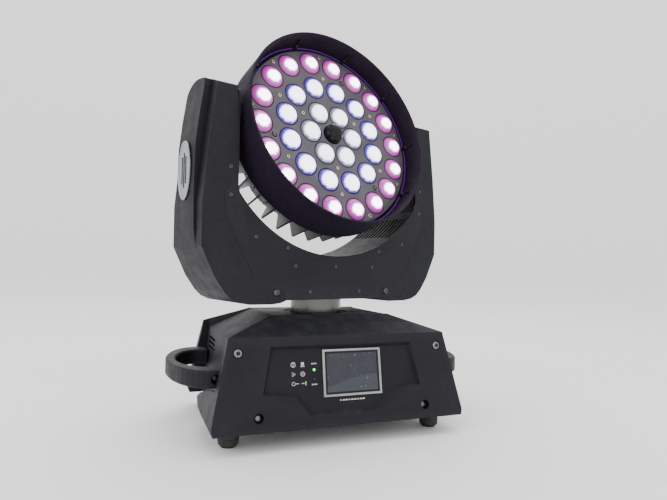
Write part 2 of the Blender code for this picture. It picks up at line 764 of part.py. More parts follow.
def yoke_frame():
    right = [
        (142.0, 152.5), (UPRIGHT_OUTER_X, 158.0), (UPRIGHT_OUTER_X, 415), (UPRIGHT_INNER_X, 415),
        (UPRIGHT_INNER_X, 159.2), (141.0, 155.5),
    ]
    half = YOKE_HALF_DEPTH - ARM_WALL - 0.4
    frame = prism("yoke_frame", right + mirrored(right), -half, half, "XZ", black_metal(),
                  PAN_AXIS)
    side_view = prism("frame_side_view", arm_side_view(ARM_WALL + 0.5), -200, 200, "YZ", None,
                      PAN_AXIS)
    combine(frame, side_view, "INTERSECT")
    axle = cylinder("frame_axle_hole", TILT_SHAFT_RADIUS + 1.2, -160, 160, None, PAN_AXIS,
                    (0, 0, TILT_Z), (0, 90, 0))
    combine(frame, axle)
    motor = cylinder("frame_motor_hole", 13.5, -160, -140, None, PAN_AXIS,
                     (0, 0, TILT_MOTOR_Z), (0, 90, 0), 24)
    combine(frame, motor)
    combine(frame, cylinder("frame_cable_hole", 24, 140, 160, None, PAN_AXIS))
    floor = box("yoke_floor", (-77, -half, YOKE_FLOOR_Z), (77, half, YOKE_FLOOR_Z + 2),
                black_metal(), PAN_AXIS)
    combine(floor, cylinder("floor_tube_hole", PAN_TUBE_RADIUS + 0.5, 140, 160, None, PAN_AXIS,
                            segments=48))


def pan_tube():
    tube = [
        (PAN_TUBE_RADIUS, 152.5 - GAP), (PAN_TUBE_RADIUS, 58.0), (29.0, 58.0),
        (29.0, 152.5 - GAP),
    ]
    smooth(turned("pan_tube", tube, bare_steel(), PAN_AXIS, steps=64))
    low = PAN_BELT_Z - 1.5
    high = PAN_BELT_Z + BELT_WIDTH + 1.5
    wheel = pulley_profile(PAN_PULLEY_RADIUS, PAN_TUBE_RADIUS + GAP, low, high)
    smooth(turned("pan_pulley", wheel, aluminium(), PAN_AXIS, steps=40))


def tilt_drive():
    """The tilt motor, its belt and wheels in the left arm, and both bearing blocks."""
    motor = box("tilt_motor", (-148.4, -21, TILT_MOTOR_Z - 21), (-108, 21, TILT_MOTOR_Z + 21),
                black_metal(), PAN_AXIS)
    bevel(motor, 3.0, 1, 60)
    end_x = TILT_PULLEY_X + BELT_WIDTH + 3
    shaft = cylinder("tilt_motor_shaft", 3.0, -end_x, -140, None, PAN_AXIS,
                     (0, 0, TILT_MOTOR_Z), (0, 90, 0), 12)
    combine(motor, shaft, "UNION")
    side_turn = (0, -90, 0)
    low = TILT_PULLEY_X - 1.5
    high = TILT_PULLEY_X + BELT_WIDTH + 1.5
    for name, radius, bore, height, steps in (
        ("tilt_motor_pulley", MOTOR_PULLEY_RADIUS, 3.0 + GAP, TILT_MOTOR_Z, 20),
        ("tilt_pulley", TILT_PULLEY_RADIUS, TILT_SHAFT_RADIUS + GAP, TILT_Z, 40),
    ):
        wheel = pulley_profile(radius, bore, low, high)
        smooth(turned(name, wheel, aluminium(), PAN_AXIS, (0, 0, height), side_turn, steps))
    belt("tilt_belt", TILT_PULLEY_RADIUS, TILT_Z - TILT_MOTOR_Z, PAN_AXIS,
         (-TILT_PULLEY_X, 0, TILT_Z), (-90, 0, 90))
    for side, side_name in ((-1, "left"), (1, "right")):
        near, far = sorted((side * (UPRIGHT_OUTER_X + GAP), side * 162.0))
        block = box(f"tilt_bearing_{side_name}", (near, -26, TILT_Z - 26),
                    (far, 26, TILT_Z + 26), aluminium(), PAN_AXIS)
        bevel(block, 3.0, 1, 60)
        bore = cylinder(f"tilt_bore_{side_name}", TILT_SHAFT_RADIUS + 0.4, -180, 180, None,
                        PAN_AXIS, (0, 0, TILT_Z), (0, 90, 0), 40)
        combine(block, bore)


# ---------------------------------------------------------------- head


def lens_places():
    """The centre of every lens on the panel."""
    places = []
    for radius, count, start in LENS_RINGS:
        for step in range(count):
            angle = math.radians(start + 360 * step / count)
            places.append((radius * math.cos(angle), radius * math.sin(angle)))
    return places


def joined(name, solids, finish=None, parent=None):
    """One mesh that holds several separate solids of the same shape, given their centres."""
    bm = bmesh.new()
    for build, centre in solids:
        before = set(bm.verts)
        build(bm)
        fresh = [vertex for vertex in bm.verts if vertex not in before]
        bmesh.ops.translate(bm, verts=fresh, vec=Vector(centre) * MM)
    return place(name, mesh_from(name, bm), finish, parent)


def drill(radius, low, high, segments):
    def build(bm):
        made = bmesh.ops.create_cone(bm, cap_ends=True, segments=segments, radius1=radius * MM,
                                     radius2=radius * MM, depth=(high - low) * MM)
        bmesh.ops.translate(bm, verts=made["verts"], vec=(0, 0, (low + high) / 2 * MM))
    return build


def dome(radius, height, low, base, segments, rings):
    """A lens dome: a spherical cap that rises height above base, on a plug down to low."""
    def build(bm):
        rim = [bm.verts.new((radius * MM * math.cos(2 * math.pi * step / segments),
                             radius * MM * math.sin(2 * math.pi * step / segments), low * MM))
               for step in range(segments)]
        bm.faces.new(rim)
        last = rim
        for ring in range(rings):
            angle = math.pi / 2 * ring / rings
            ring_radius = radius * math.cos(angle) * MM
            level = (base + height * math.sin(angle)) * MM
            fresh = [bm.verts.new((ring_radius * math.cos(2 * math.pi * step / segments),
                                   ring_radius * math.sin(2 * math.pi * step / segments),
                                   level)) for step in range(segments)]
            for step in range(segments):
                following = (step + 1) % segments
                bm.faces.new((last[step], last[following], fresh[following], fresh[step]))
            last = fresh
        tip = bm.verts.new((0, 0, (base + height) * MM))
        for step in range(segments):
            bm.faces.new((last[step], last[(step + 1) % segments], tip))
    return build


def head_hood():
    profile = [
        (HOOD_RADIUS, HOOD_FRONT), (HOOD_RADIUS, HOOD_REAR), (140.5, HOOD_REAR), (140.5, 26),
        (135.6, 26), (135.6, 30), (139.6, 33), (141.6, 50), (141.8, HOOD_FRONT),
    ]
    hood = turned("head_hood", profile, black_plastic(), OPTICAL_AXIS, steps=72)
    return smooth(hood)


def zoom_places():
    places = []
    for degrees in ZOOM_SCREW_DEGREES:
        angle = math.radians(degrees)
        places.append((ZOOM_SCREW_CIRCLE * math.cos(angle), ZOOM_SCREW_CIRCLE * math.sin(angle)))
    return places


def lens_carriage():
    """The front panel and the moulded lens array behind it, which slide together."""
    back = PANEL_FRONT - PANEL_THICKNESS
    panel = cylinder("lens_panel", PANEL_RADIUS, back, PANEL_FRONT, dark_aluminium(),
                     OPTICAL_AXIS, segments=64)
    holes = [(drill(LENS_RADIUS + 0.9, back - 5, PANEL_FRONT + 5, 12), (x, y, 0))
             for x, y in lens_places()]
    holes += [(drill(ZOOM_SCREW_RADIUS + 0.8, back - 5, PANEL_FRONT + 5, 12), (x, y, 0))
              for x, y in zoom_places()]
    holes += [(drill(POST_RADIUS + 1.0, back - 5, PANEL_FRONT + 5, 24), (0, 0, 0))]
    combine(panel, joined("panel_holes", holes, None, OPTICAL_AXIS))

    web_top = back - GAP
    web = cylinder("lens_array", 131, web_top - 2.5, web_top, lens_clear(), OPTICAL_AXIS,
                   segments=48)
    domes = [(dome(LENS_RADIUS, 6.0, web_top - 1, PANEL_FRONT - 1, 12, 2), (x, y, 0))
             for x, y in lens_places()]
    combine(web, joined("lens_domes", domes, None, OPTICAL_AXIS), "UNION")
    openings = [(drill(ZOOM_SCREW_RADIUS + 0.8, web_top - 8, web_top + 5, 12), (x, y, 0))
                for x, y in zoom_places()]
    openings += [(drill(POST_RADIUS + 1.0, web_top - 8, web_top + 5, 24), (0, 0, 0))]
    combine(web, joined("array_holes", openings, None, OPTICAL_AXIS))


def head_inside():
    cylinder("led_board", 125, 12, 14, board_green(), OPTICAL_AXIS, segments=48)
    post = [
        (0, 47.5), (6, 47.3), (10.4, 46.0), (12.8, 43.6), (POST_RADIUS, 40.5),
        (POST_RADIUS, 14 + GAP), (0, 14 + GAP),
    ]
    smooth(turned("centre_post", post, black_plastic(), OPTICAL_AXIS, steps=32, closed=False))
    for index, (x, y) in enumerate(zoom_places(), start=1):
        cylinder(f"zoom_screw_{index}", ZOOM_SCREW_RADIUS, 14 + GAP, PANEL_FRONT + 1.2,
                 bare_steel(), OPTICAL_AXIS, (x, y, 0), segments=20)
    motor = box("zoom_motor", (-21, -21, -34), (21, 21, 4.5), black_metal(), OPTICAL_AXIS)
    bevel(motor, 3.0, 1, 60)


def fin_ring():
    """The radial outline of the heat sink: a round core with straight fins."""
    outline = []
    half = FIN_THICKNESS / 2
    reach = HOOD_RADIUS + 4
    root = math.sqrt(SINK_CORE_RADIUS**2 - half**2)
    for step in range(FIN_COUNT):
        angle = 2 * math.pi * (step + 0.5) / FIN_COUNT
        for along, across in ((root, -half), (reach, -half), (reach, half), (root, half)):
            x = along * math.cos(angle) - across * math.sin(angle)
            y = along * math.sin(angle) + across * math.cos(angle)
            outline.append((x, y))
    return outline


def heat_sink():
    sink = prism("heat_sink", fin_ring(), -66, 8, "XY", dark_aluminium(), OPTICAL_AXIS)
    envelope = [
        (0, 7.5), (139.8, 7.5), (134.5, -44.0), (102.0, -58.5), (78.0, -66.0), (0, -66.0),
    ]
    shape = turned("sink_envelope", envelope, None, OPTICAL_AXIS, steps=96, closed=False)
    combine(sink, shape, "INTERSECT")
    plate = cylinder("sink_plate", 139.8, 7.0, 11.7, None, OPTICAL_AXIS, segments=64)
    combine(sink, plate, "UNION")
    combine(sink, cylinder("sink_hollow", 62, -80, 5, None, OPTICAL_AXIS, segments=48))
    for side in (-1, 1):
        near, far = sorted((side * 69.5, side * 160))
        room = box(f"sink_room_{side + 1}", (near, -23.5, -80), (far, 23.5, 5), None,
                   OPTICAL_AXIS)
        combine(sink, room)
    return sink


def tilt_shafts():
    """The side brackets of the head and the short shafts that it hangs on."""
    for side, side_name in ((-1, "left"), (1, "right")):
        near, far = sorted((side * 73.5, side * 145.5))
        bracket = box(f"head_bracket_{side_name}", (near, -22.5, -22), (far, 22.5, 4.6),
                      black_metal(), OPTICAL_AXIS)
        bevel(bracket, 2.0, 1, 60)
        end_x = TILT_PULLEY_X + BELT_WIDTH + 2.5 if side < 0 else 168.0
        shaft = [
            (TILT_SHAFT_RADIUS, end_x), (TILT_SHAFT_RADIUS, 145.5 + GAP),
            (9.0, 145.5 + GAP), (9.0, end_x),
        ]
        smooth(turned(f"tilt_shaft_{side_name}", shaft, bare_steel(), TILT_AXIS,
                      turn=(0, 90 * side, 0), steps=40))


def head_rear():
    """The rear cap with its fan opening, the fan's frame and the fan's rotor."""
    cap = [
        (86.0, -66.5), (86.0, -72.0), (76.0, -98.0), (70.0, -102.0), (44.0, -102.0),
        (44.0, -99.4), (69.0, -99.4), (83.2, -71.4), (83.2, -66.5),
    ]
    smooth(turned("head_rear_cover", cap, black_plastic(), OPTICAL_AXIS, steps=48))
    frame = box("fan_frame", (-46, -46, -99), (46, 46, -74), black_plastic(), OPTICAL_AXIS)
    combine(frame, cylinder("fan_bore", 43, -110, -60, None, OPTICAL_AXIS, segments=40))
    hub = cylinder("fan_rotor", 17, -97, -76, black_plastic(), OPTICAL_AXIS, segments=28)
    for blade in range(7):
        turn_axis = axis_empty(f"blade_axis_{blade}", OPTICAL_AXIS, (0, 0, -86.5),
                               (0, 0, 360 * blade / 7))
        vane = box(f"blade_{blade}", (12, -9.5, -0.9), (41, 9.5, 0.9), None, turn_axis,
                   turn=(38, 0, 0))
        combine(hub, vane, "UNION")


# ---------------------------------------------------------------- build


def build():
    base_chassis()
    base_covers()
    base_middle_cover()
    handle("handle_left", -1)
    handle("handle_right", 1)
    feet()
    display()
    connectors()
    base_inside()
    pan_drive()

    arm_cover("arm_cover_left", -1)
    arm_cover("arm_cover_right", 1)
    arm_badge("arm_badge_left", -1)
    arm_badge("arm_badge_right", 1)
    yoke_plate("yoke_front_plate", -1)
    yoke_plate("yoke_rear_plate", 1)
    yoke_trough()
    yoke_frame()
    pan_tube()
    tilt_drive()

    head_hood()
    lens_carriage()
    head_inside()
    heat_sink()
    tilt_shafts()
    head_rear()


build()
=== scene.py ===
"""Looks for the moving head wash light: materials, fine pieces, camera and lights."""

import json
import math

import bmesh
import bpy
from mathutils import Matrix, Vector


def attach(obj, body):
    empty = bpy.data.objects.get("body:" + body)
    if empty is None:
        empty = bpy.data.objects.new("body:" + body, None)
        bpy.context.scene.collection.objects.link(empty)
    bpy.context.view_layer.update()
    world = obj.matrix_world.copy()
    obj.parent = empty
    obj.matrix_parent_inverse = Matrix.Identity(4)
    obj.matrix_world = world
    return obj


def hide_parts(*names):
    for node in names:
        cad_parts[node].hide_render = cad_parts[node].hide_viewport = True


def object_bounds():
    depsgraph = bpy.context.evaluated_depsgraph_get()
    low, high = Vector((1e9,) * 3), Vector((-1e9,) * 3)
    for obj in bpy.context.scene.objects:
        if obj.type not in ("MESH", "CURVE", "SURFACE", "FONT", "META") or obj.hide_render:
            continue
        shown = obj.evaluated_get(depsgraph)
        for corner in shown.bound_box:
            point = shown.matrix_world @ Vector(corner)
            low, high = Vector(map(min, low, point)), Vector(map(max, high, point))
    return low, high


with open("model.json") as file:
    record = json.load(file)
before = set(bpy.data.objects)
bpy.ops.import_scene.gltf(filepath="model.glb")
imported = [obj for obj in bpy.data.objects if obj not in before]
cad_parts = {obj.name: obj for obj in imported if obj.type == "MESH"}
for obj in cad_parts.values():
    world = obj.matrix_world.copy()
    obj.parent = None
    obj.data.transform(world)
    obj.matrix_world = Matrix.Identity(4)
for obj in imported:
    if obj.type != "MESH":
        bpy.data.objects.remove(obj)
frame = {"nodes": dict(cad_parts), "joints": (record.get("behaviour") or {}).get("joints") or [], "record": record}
NODES = frame["nodes"]
CAD_BOX = [list(corner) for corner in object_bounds()]
JOINTS = {joint["name"]: joint for joint in frame["joints"]}
MM = 0.001

# ---------------------------------------------------------------- frames


def basis(x_axis, y_axis, z_axis, origin):
    """A 4x4 matrix from three axes and an origin."""
    matrix = Matrix((x_axis, y_axis, z_axis)).transposed().to_4x4()
    matrix.translation = Vector(origin)
    return matrix


UP = Vector((0, 0, 1))
TILT_AXIS = Vector(JOINTS["tilt"]["axis"]).normalized()
TILT_CENTRE = Vector(JOINTS["tilt"]["pos_m"])
OPTICAL_AXIS = Vector(JOINTS["zoom"]["axis"]).normalized()
HEAD = basis(TILT_AXIS, OPTICAL_AXIS.cross(TILT_AXIS), OPTICAL_AXIS, TILT_CENTRE)
YOKE = basis(TILT_AXIS, UP.cross(TILT_AXIS), UP, (0, 0, 0))

FACE_Y = 0.129
FACE_RISE = 108.3
FACE_SETBACK = 20.0
FACE_LEAN = math.atan2(FACE_RISE, FACE_SETBACK)
FRONT = Matrix.Translation((0, -FACE_Y, 0)) @ Matrix.Rotation(FACE_LEAN, 4, "X")
REAR = (Matrix.Translation((0, FACE_Y, 0)) @ Matrix.Rotation(math.pi, 4, "Z")
        @ Matrix.Rotation(FACE_LEAN, 4, "X"))
IDENTITY = Matrix.Identity(4)

# Places shared by several pieces, in millimetres
RECESS_FLOOR = -5.0
SOCKET_SEAT = -2.4
FOOT_X = 139
FOOT_Y = 88
FOOT_RADIUS = 12.5
DISPLAY_CENTRE = (11.2, 64.1)
LENS_RINGS = ((36.0, 6, 0.0), (74.4, 12, 15.0), (114.0, 18, 0.0))
PANEL_FRONT = 35.0
ZOOM_SCREW_RING = 98
ZOOM_SCREW_DEGREES = (69.7, 189.7, 309.7)
YOKE_HALF_DEPTH = 48.15
SOCKET_HEIGHT = 57
INLET_X = -78
OUTLET_X = -42
FUSE_X = -8
DATA_IN_X = 32
DATA_OUT_X = 72
SHARP_DEGREES = 32


def turn(axis, degrees):
    return Matrix.Rotation(math.radians(degrees), 4, axis)


def shift(x, y, z):
    """A move given in millimetres."""
    return Matrix.Translation(Vector((x, y, z)) * MM)


def on_head(radius, degrees, height):
    """A place on the head, round its optical axis."""
    angle = math.radians(degrees)
    return HEAD @ shift(radius * math.cos(angle), radius * math.sin(angle), height)


def lens_places(height):
    """The place of each lens, with the index of its ring."""
    return [(ring, on_head(radius, start + 360 * step / count, height))
            for ring, (radius, count, start) in enumerate(LENS_RINGS) for step in range(count)]


# ---------------------------------------------------------------- material building


class Graph:
    """A material's nodes, with short calls for the ones used here."""

    def __init__(self, name):
        self.material = bpy.data.materials.new(name)
        self.material.use_nodes = True
        self.tree = self.material.node_tree
        self.shader = self.tree.nodes["Principled BSDF"]
        self.output = self.tree.nodes["Material Output"]
        self.place = self.node("ShaderNodeTexCoord").outputs["Object"]

    def node(self, kind, **settings):
        made = self.tree.nodes.new(kind)
        for key, value in settings.items():
            setattr(made, key, value)
        return made

    def link(self, source, target):
        self.tree.links.new(source, target)

    def stretched(self, scale):
        mapping = self.node("ShaderNodeMapping")
        mapping.inputs["Scale"].default_value = scale
        self.link(self.place, mapping.inputs["Vector"])
        return mapping.outputs["Vector"]

    def noise(self, scale, detail=3.0, rough=0.5, source=None):
        made = self.node("ShaderNodeTexNoise")
        made.inputs["Scale"].default_value = scale
        made.inputs["Detail"].default_value = detail
        made.inputs["Roughness"].default_value = rough
        self.link(source or self.place, made.inputs["Vector"])
        return made.outputs["Fac"]

    def cells(self, scale, source=None):
        made = self.node("ShaderNodeTexVoronoi")
        made.inputs["Scale"].default_value = scale
        self.link(source or self.place, made.inputs["Vector"])
        return made.outputs["Distance"]

    def ramp(self, value, stops):
        made = self.node("ShaderNodeValToRGB")
        elements = made.color_ramp.elements
        while len(elements) < len(stops):
            elements.new(0.5)
        for element, (position, colour) in zip(elements, stops):
            element.position = position
            element.color = (*colour, 1.0) if len(colour) == 3 else colour
        self.link(value, made.inputs["Fac"])
        return made.outputs["Color"]

    def span(self, value, low, high, new_low, new_high):
        made = self.node("ShaderNodeMapRange")
        for slot_name, number in zip(("From Min", "From Max", "To Min", "To Max"),
                                     (low, high, new_low, new_high)):
            made.inputs[slot_name].default_value = number
        self.link(value, made.inputs["Value"])
        return made.outputs["Result"]

    def math(self, operation, first, second):
        made = self.node("ShaderNodeMath", operation=operation)
        for socket, value in zip(made.inputs, (first, second)):
            if isinstance(value, (int, float)):
                socket.default_value = value
            else:
                self.link(value, socket)
        return made.outputs["Value"]

    def blend(self, amount, first, second):
        made = self.node("ShaderNodeMix", data_type="RGBA")
        for socket, value in zip((made.inputs[0], made.inputs[6], made.inputs[7]),
                                 (amount, first, second)):
            if isinstance(value, (int, float)):
                socket.default_value = value
            elif isinstance(value, tuple):
                socket.default_value = (*value, 1.0)
            else:
                self.link(value, socket)
        return made.outputs[2]

    def bump(self, height, strength, distance, below=None):
        made = self.node("ShaderNodeBump")
        made.inputs["Strength"].default_value = strength
        made.inputs["Distance"].default_value = distance
        self.link(height, made.inputs["Height"])
        if below:
            self.link(below, made.inputs["Normal"])
        return made.outputs["Normal"]

    def distance(self, point):
        """How far the surface is from a point, in metres."""
        made = self.node("ShaderNodeVectorMath", operation="DISTANCE")
        self.link(self.place, made.inputs[0])
        made.inputs[1].default_value = point
        return made.outputs["Value"]

    def edges(self, low, high):
        """1 on worn outer edges and 0 on flats."""
        pointiness = self.node("ShaderNodeNewGeometry").outputs["Pointiness"]
        return self.span(pointiness, low, high, 0.0, 1.0)

    def upward(self):
        """1 where the surface faces straight up, 0 on walls and undersides."""
        normal = self.node("ShaderNodeNewGeometry").outputs["Normal"]
        split = self.node("ShaderNodeSeparateXYZ")
        self.link(normal, split.inputs["Vector"])
        return self.span(split.outputs["Z"], 0.55, 1.0, 0.0, 1.0)

    def finish(self, colour, rough, normal=None, **sockets):
        for socket, value in (("Base Color", colour), ("Roughness", rough), ("Normal", normal)):
            if value is None:
                continue
            if isinstance(value, (int, float)):
                self.shader.inputs[socket].default_value = value
            elif isinstance(value, tuple):
                self.shader.inputs[socket].default_value = (*value, 1.0)
            else:
                self.link(value, self.shader.inputs[socket])
        for socket, value in sockets.items():
            self.shader.inputs[socket.replace("_", " ")].default_value = value
        return self.material


def scaled(colour, factor):
    return tuple(channel * factor for channel in colour)


def moulded(name, colour, rough=0.5, grain=1500, depth=0.00016, dust=0.05):
    """Spark-eroded moulded plastic: fine pits, slow tone changes, pale edges and a little dust."""
    g = Graph(name)
    slow = g.noise(14, 3)
    tone = g.ramp(slow, [(0.3, scaled(colour, 0.92)), (0.7, scaled(colour, 1.1))])
    speck = g.noise(700, 2)
    tone = g.blend(g.span(speck, 0.66, 0.72, 0.0, 0.12), tone, scaled(colour, 3.0))
    tone = g.blend(g.math("MULTIPLY", g.edges(0.52, 0.62), g.noise(160, 3)), tone,
                   scaled(colour, 2.3))
    settled = g.math("MULTIPLY", g.upward(), g.span(g.noise(55, 4), 0.42, 0.75, 0.0, dust))
    tone = g.blend(settled, tone, (0.35, 0.35, 0.34))
    gloss = g.span(g.noise(60, 3), 0.3, 0.7, rough - 0.05, rough + 0.09)
    fine = g.bump(g.noise(grain, 2), 0.55, depth)
    coarse = g.bump(g.cells(grain * 0.45), 0.3, depth * 0.7, fine)
    return g.finish(tone, gloss, coarse, IOR=1.33, Specular_IOR_Level=0.3)


def powder_coat(name, colour, rough=0.42):
    """Powder coating: a soft orange-peel over sheet metal."""
    g = Graph(name)
    slow = g.noise(22, 3)
    tone = g.ramp(slow, [(0.3, scaled(colour, 0.85)), (0.7, scaled(colour, 1.18))])
    worn = g.math("MULTIPLY", g.edges(0.54, 0.66), g.noise(220, 3))
    tone = g.blend(worn, tone, scaled(colour, 3.5))
    settled = g.math("MULTIPLY", g.upward(), g.span(g.noise(70, 4), 0.45, 0.75, 0.0, 0.06))
    tone = g.blend(settled, tone, (0.4, 0.4, 0.39))
    gloss = g.span(g.noise(90, 3), 0.3, 0.7, rough - 0.06, rough + 0.08)
    peel = g.bump(g.noise(420, 2), 0.5, 0.00018)
    grit = g.bump(g.noise(2200, 1), 0.35, 0.00007, peel)
    return g.finish(tone, gloss, grit, IOR=1.33, Specular_IOR_Level=0.3)


def machined(name, colour, rough=0.28, stretch=(25, 25, 1800), depth=0.00003):
    """Turned or milled bare metal, with fine lines along one direction."""
    g = Graph(name)
    lines = g.noise(1.0, 4, 0.6, g.stretched(stretch))
    slow = g.noise(30, 3)
    tone = g.ramp(lines, [(0.25, scaled(colour, 0.7)), (0.75, scaled(colour, 1.12))])
    tone = g.blend(g.span(slow, 0.45, 0.8, 0.0, 0.3), tone, scaled(colour, 0.6))
    gloss = g.span(lines, 0.2, 0.8, rough - 0.07, rough + 0.14)
    return g.finish(tone, gloss, g.bump(lines, 0.4, depth), Metallic=1.0)


def anodised(name, colour, rough=0.42):
    """Anodised aluminium with drawn lines and paler edges."""
    g = Graph(name)
    lines = g.noise(1.0, 3, 0.6, g.stretched((900, 900, 40)))
    slow = g.noise(25, 3)
    tone = g.ramp(slow, [(0.3, scaled(colour, 0.8)), (0.7, scaled(colour, 1.25))])
    tone = g.blend(g.edges(0.53, 0.62), tone, scaled(colour, 2.6))
    tone = g.blend(g.span(lines, 0.4, 0.8, 0.0, 0.25), tone, scaled(colour, 1.6))
    gloss = g.span(lines, 0.2, 0.8, rough - 0.06, rough + 0.12)
    return g.finish(tone, gloss, g.bump(lines, 0.35, 0.00005), Metallic=0.35)


def soft_rubber(name, colour):
    g = Graph(name)
    tone = g.ramp(g.noise(35, 4), [(0.3, scaled(colour, 0.7)), (0.7, scaled(colour, 1.6))])
    scuff = g.math("MULTIPLY", g.edges(0.52, 0.6), g.noise(300, 3))
    tone = g.blend(scuff, tone, scaled(colour, 4.0))
    gloss = g.span(g.noise(120, 3), 0.3, 0.7, 0.66, 0.86)
    return g.finish(tone, gloss, g.bump(g.noise(900, 3), 0.5, 0.00015))


def circuit_board(name):
    g = Graph(name)
    tracks = g.cells(260)
    tone = g.ramp(tracks, [(0.12, (0.03, 0.16, 0.06)), (0.3, (0.015, 0.09, 0.035))])
    tone = g.blend(g.span(g.noise(240, 2), 0.62, 0.66, 0.0, 0.5), tone, (0.5, 0.45, 0.25))
    return g.finish(tone, g.span(g.noise(60, 2), 0.3, 0.7, 0.3, 0.45),
                    g.bump(tracks, 0.3, 0.0001))


def light_cell(name, core, rim, strength, rim_strength, rim_start):
    """A lit lens: a white-hot middle and a saturated rim, with a soft crescent at its top."""
    g = Graph(name)
    split = g.node("ShaderNodeSeparateXYZ")
    g.link(g.place, split.inputs["Vector"])
    across = split.outputs["X"]
    height = split.outputs["Y"]
    true_radius = g.math("SQRT", g.math("ADD", g.math("MULTIPLY", across, across),
                                        g.math("MULTIPLY", height, height)), 0.5)
    low = g.math("ADD", height, 0.0036)
    lean = g.math("SUBTRACT", across, 0.0008)
    shifted = g.math("SQRT", g.math("ADD", g.math("MULTIPLY", lean, lean),
                                    g.math("MULTIPLY", low, low)), 0.5)
    ripple = g.math("MULTIPLY", g.math("SUBTRACT", g.noise(260, 2), 0.5), 0.0042)
    field = g.math("ADD", g.math("MAXIMUM", shifted, g.math("MULTIPLY", true_radius, 1.06)),
                   ripple)
    middle = tuple((a * 2 + b) / 3 for a, b in zip(rim, core))
    ratio = g.span(field, 0.0, 0.0178, 0.0, 1.0)
    glow = g.ramp(ratio, [(0.0, core), (rim_start, core), (rim_start + 0.07, middle),
                          (min(rim_start + 0.16, 0.99), rim)])
    edge = g.span(true_radius, 0.0148, 0.0160, 1.0, 0.35)
    power = g.math("MULTIPLY", edge,
                   g.span(ratio, rim_start - 0.06, rim_start + 0.14, strength, rim_strength))
    g.link(glow, g.shader.inputs["Emission Color"])
    g.link(power, g.shader.inputs["Emission Strength"])
    tone = g.ramp(ratio, [(0.0, scaled(core, 0.6)), (1.0, scaled(rim, 0.3))])
    facets = g.bump(g.cells(520), 0.12, 0.0002)
    return g.finish(tone, g.span(g.noise(300, 2), 0.3, 0.7, 0.05, 0.14), facets, IOR=1.49,
                    Coat_Weight=0.4, Coat_Roughness=0.04)


def glowing(name, colour, strength):
    g = Graph(name)
    shade = g.ramp(g.noise(400, 2), [(0.2, scaled(colour, 0.8)), (0.8, colour)])
    g.link(shade, g.shader.inputs["Emission Color"])
    return g.finish(shade, g.span(g.noise(500, 2), 0.3, 0.7, 0.15, 0.3),
                    Emission_Strength=strength)


def touch_glass(name):
    """A switched-off dark touch panel with a painted sheen, paler below an arc in its lower part, and dust."""
    g = Graph(name)
    slow = g.noise(28, 4)
    tone = g.ramp(slow, [(0.25, (0.001, 0.002, 0.006)), (0.6, (0.003, 0.006, 0.015)),
                         (0.85, (0.007, 0.012, 0.024))])
    # Painted reflection: the glass is paler inside a large circle round this point, which gives the sheen below an
    # arc in its lower part.
    sheen_arc_centre = FRONT @ shift(DISPLAY_CENTRE[0] + 42.6, DISPLAY_CENTRE[1] - 216.5, 0)
    painted_sheen_mask = g.span(g.distance(sheen_arc_centre.translation), 0.2136, 0.2124, 0.0, 0.75)
    tone = g.blend(painted_sheen_mask, tone, (0.020, 0.028, 0.038))
    dust = g.cells(210)
    specks = g.math("MULTIPLY", g.span(dust, 0.16, 0.07, 0.0, 1.0),
                    g.span(g.noise(45, 3), 0.46, 0.62, 0.0, 0.75))
    tone = g.blend(specks, tone, (0.42, 0.5, 0.56))
    fine = g.span(g.noise(1600, 2), 0.68, 0.74, 0.0, 0.35)
    tone = g.blend(fine, tone, (0.4, 0.48, 0.52))
    gloss = g.span(g.noise(70, 5), 0.35, 0.7, 0.06, 0.30)
    return g.finish(tone, gloss, g.bump(specks, 0.2, 0.0001), Coat_Weight=0.25,
                    Coat_Roughness=0.05)


def printed(name, colour):
    g = Graph(name)
    tone = g.ramp(g.noise(900, 3), [(0.35, scaled(colour, 0.55)), (0.6, colour)])
    return g.finish(tone, g.span(g.noise(500, 2), 0.3, 0.7, 0.45, 0.6))


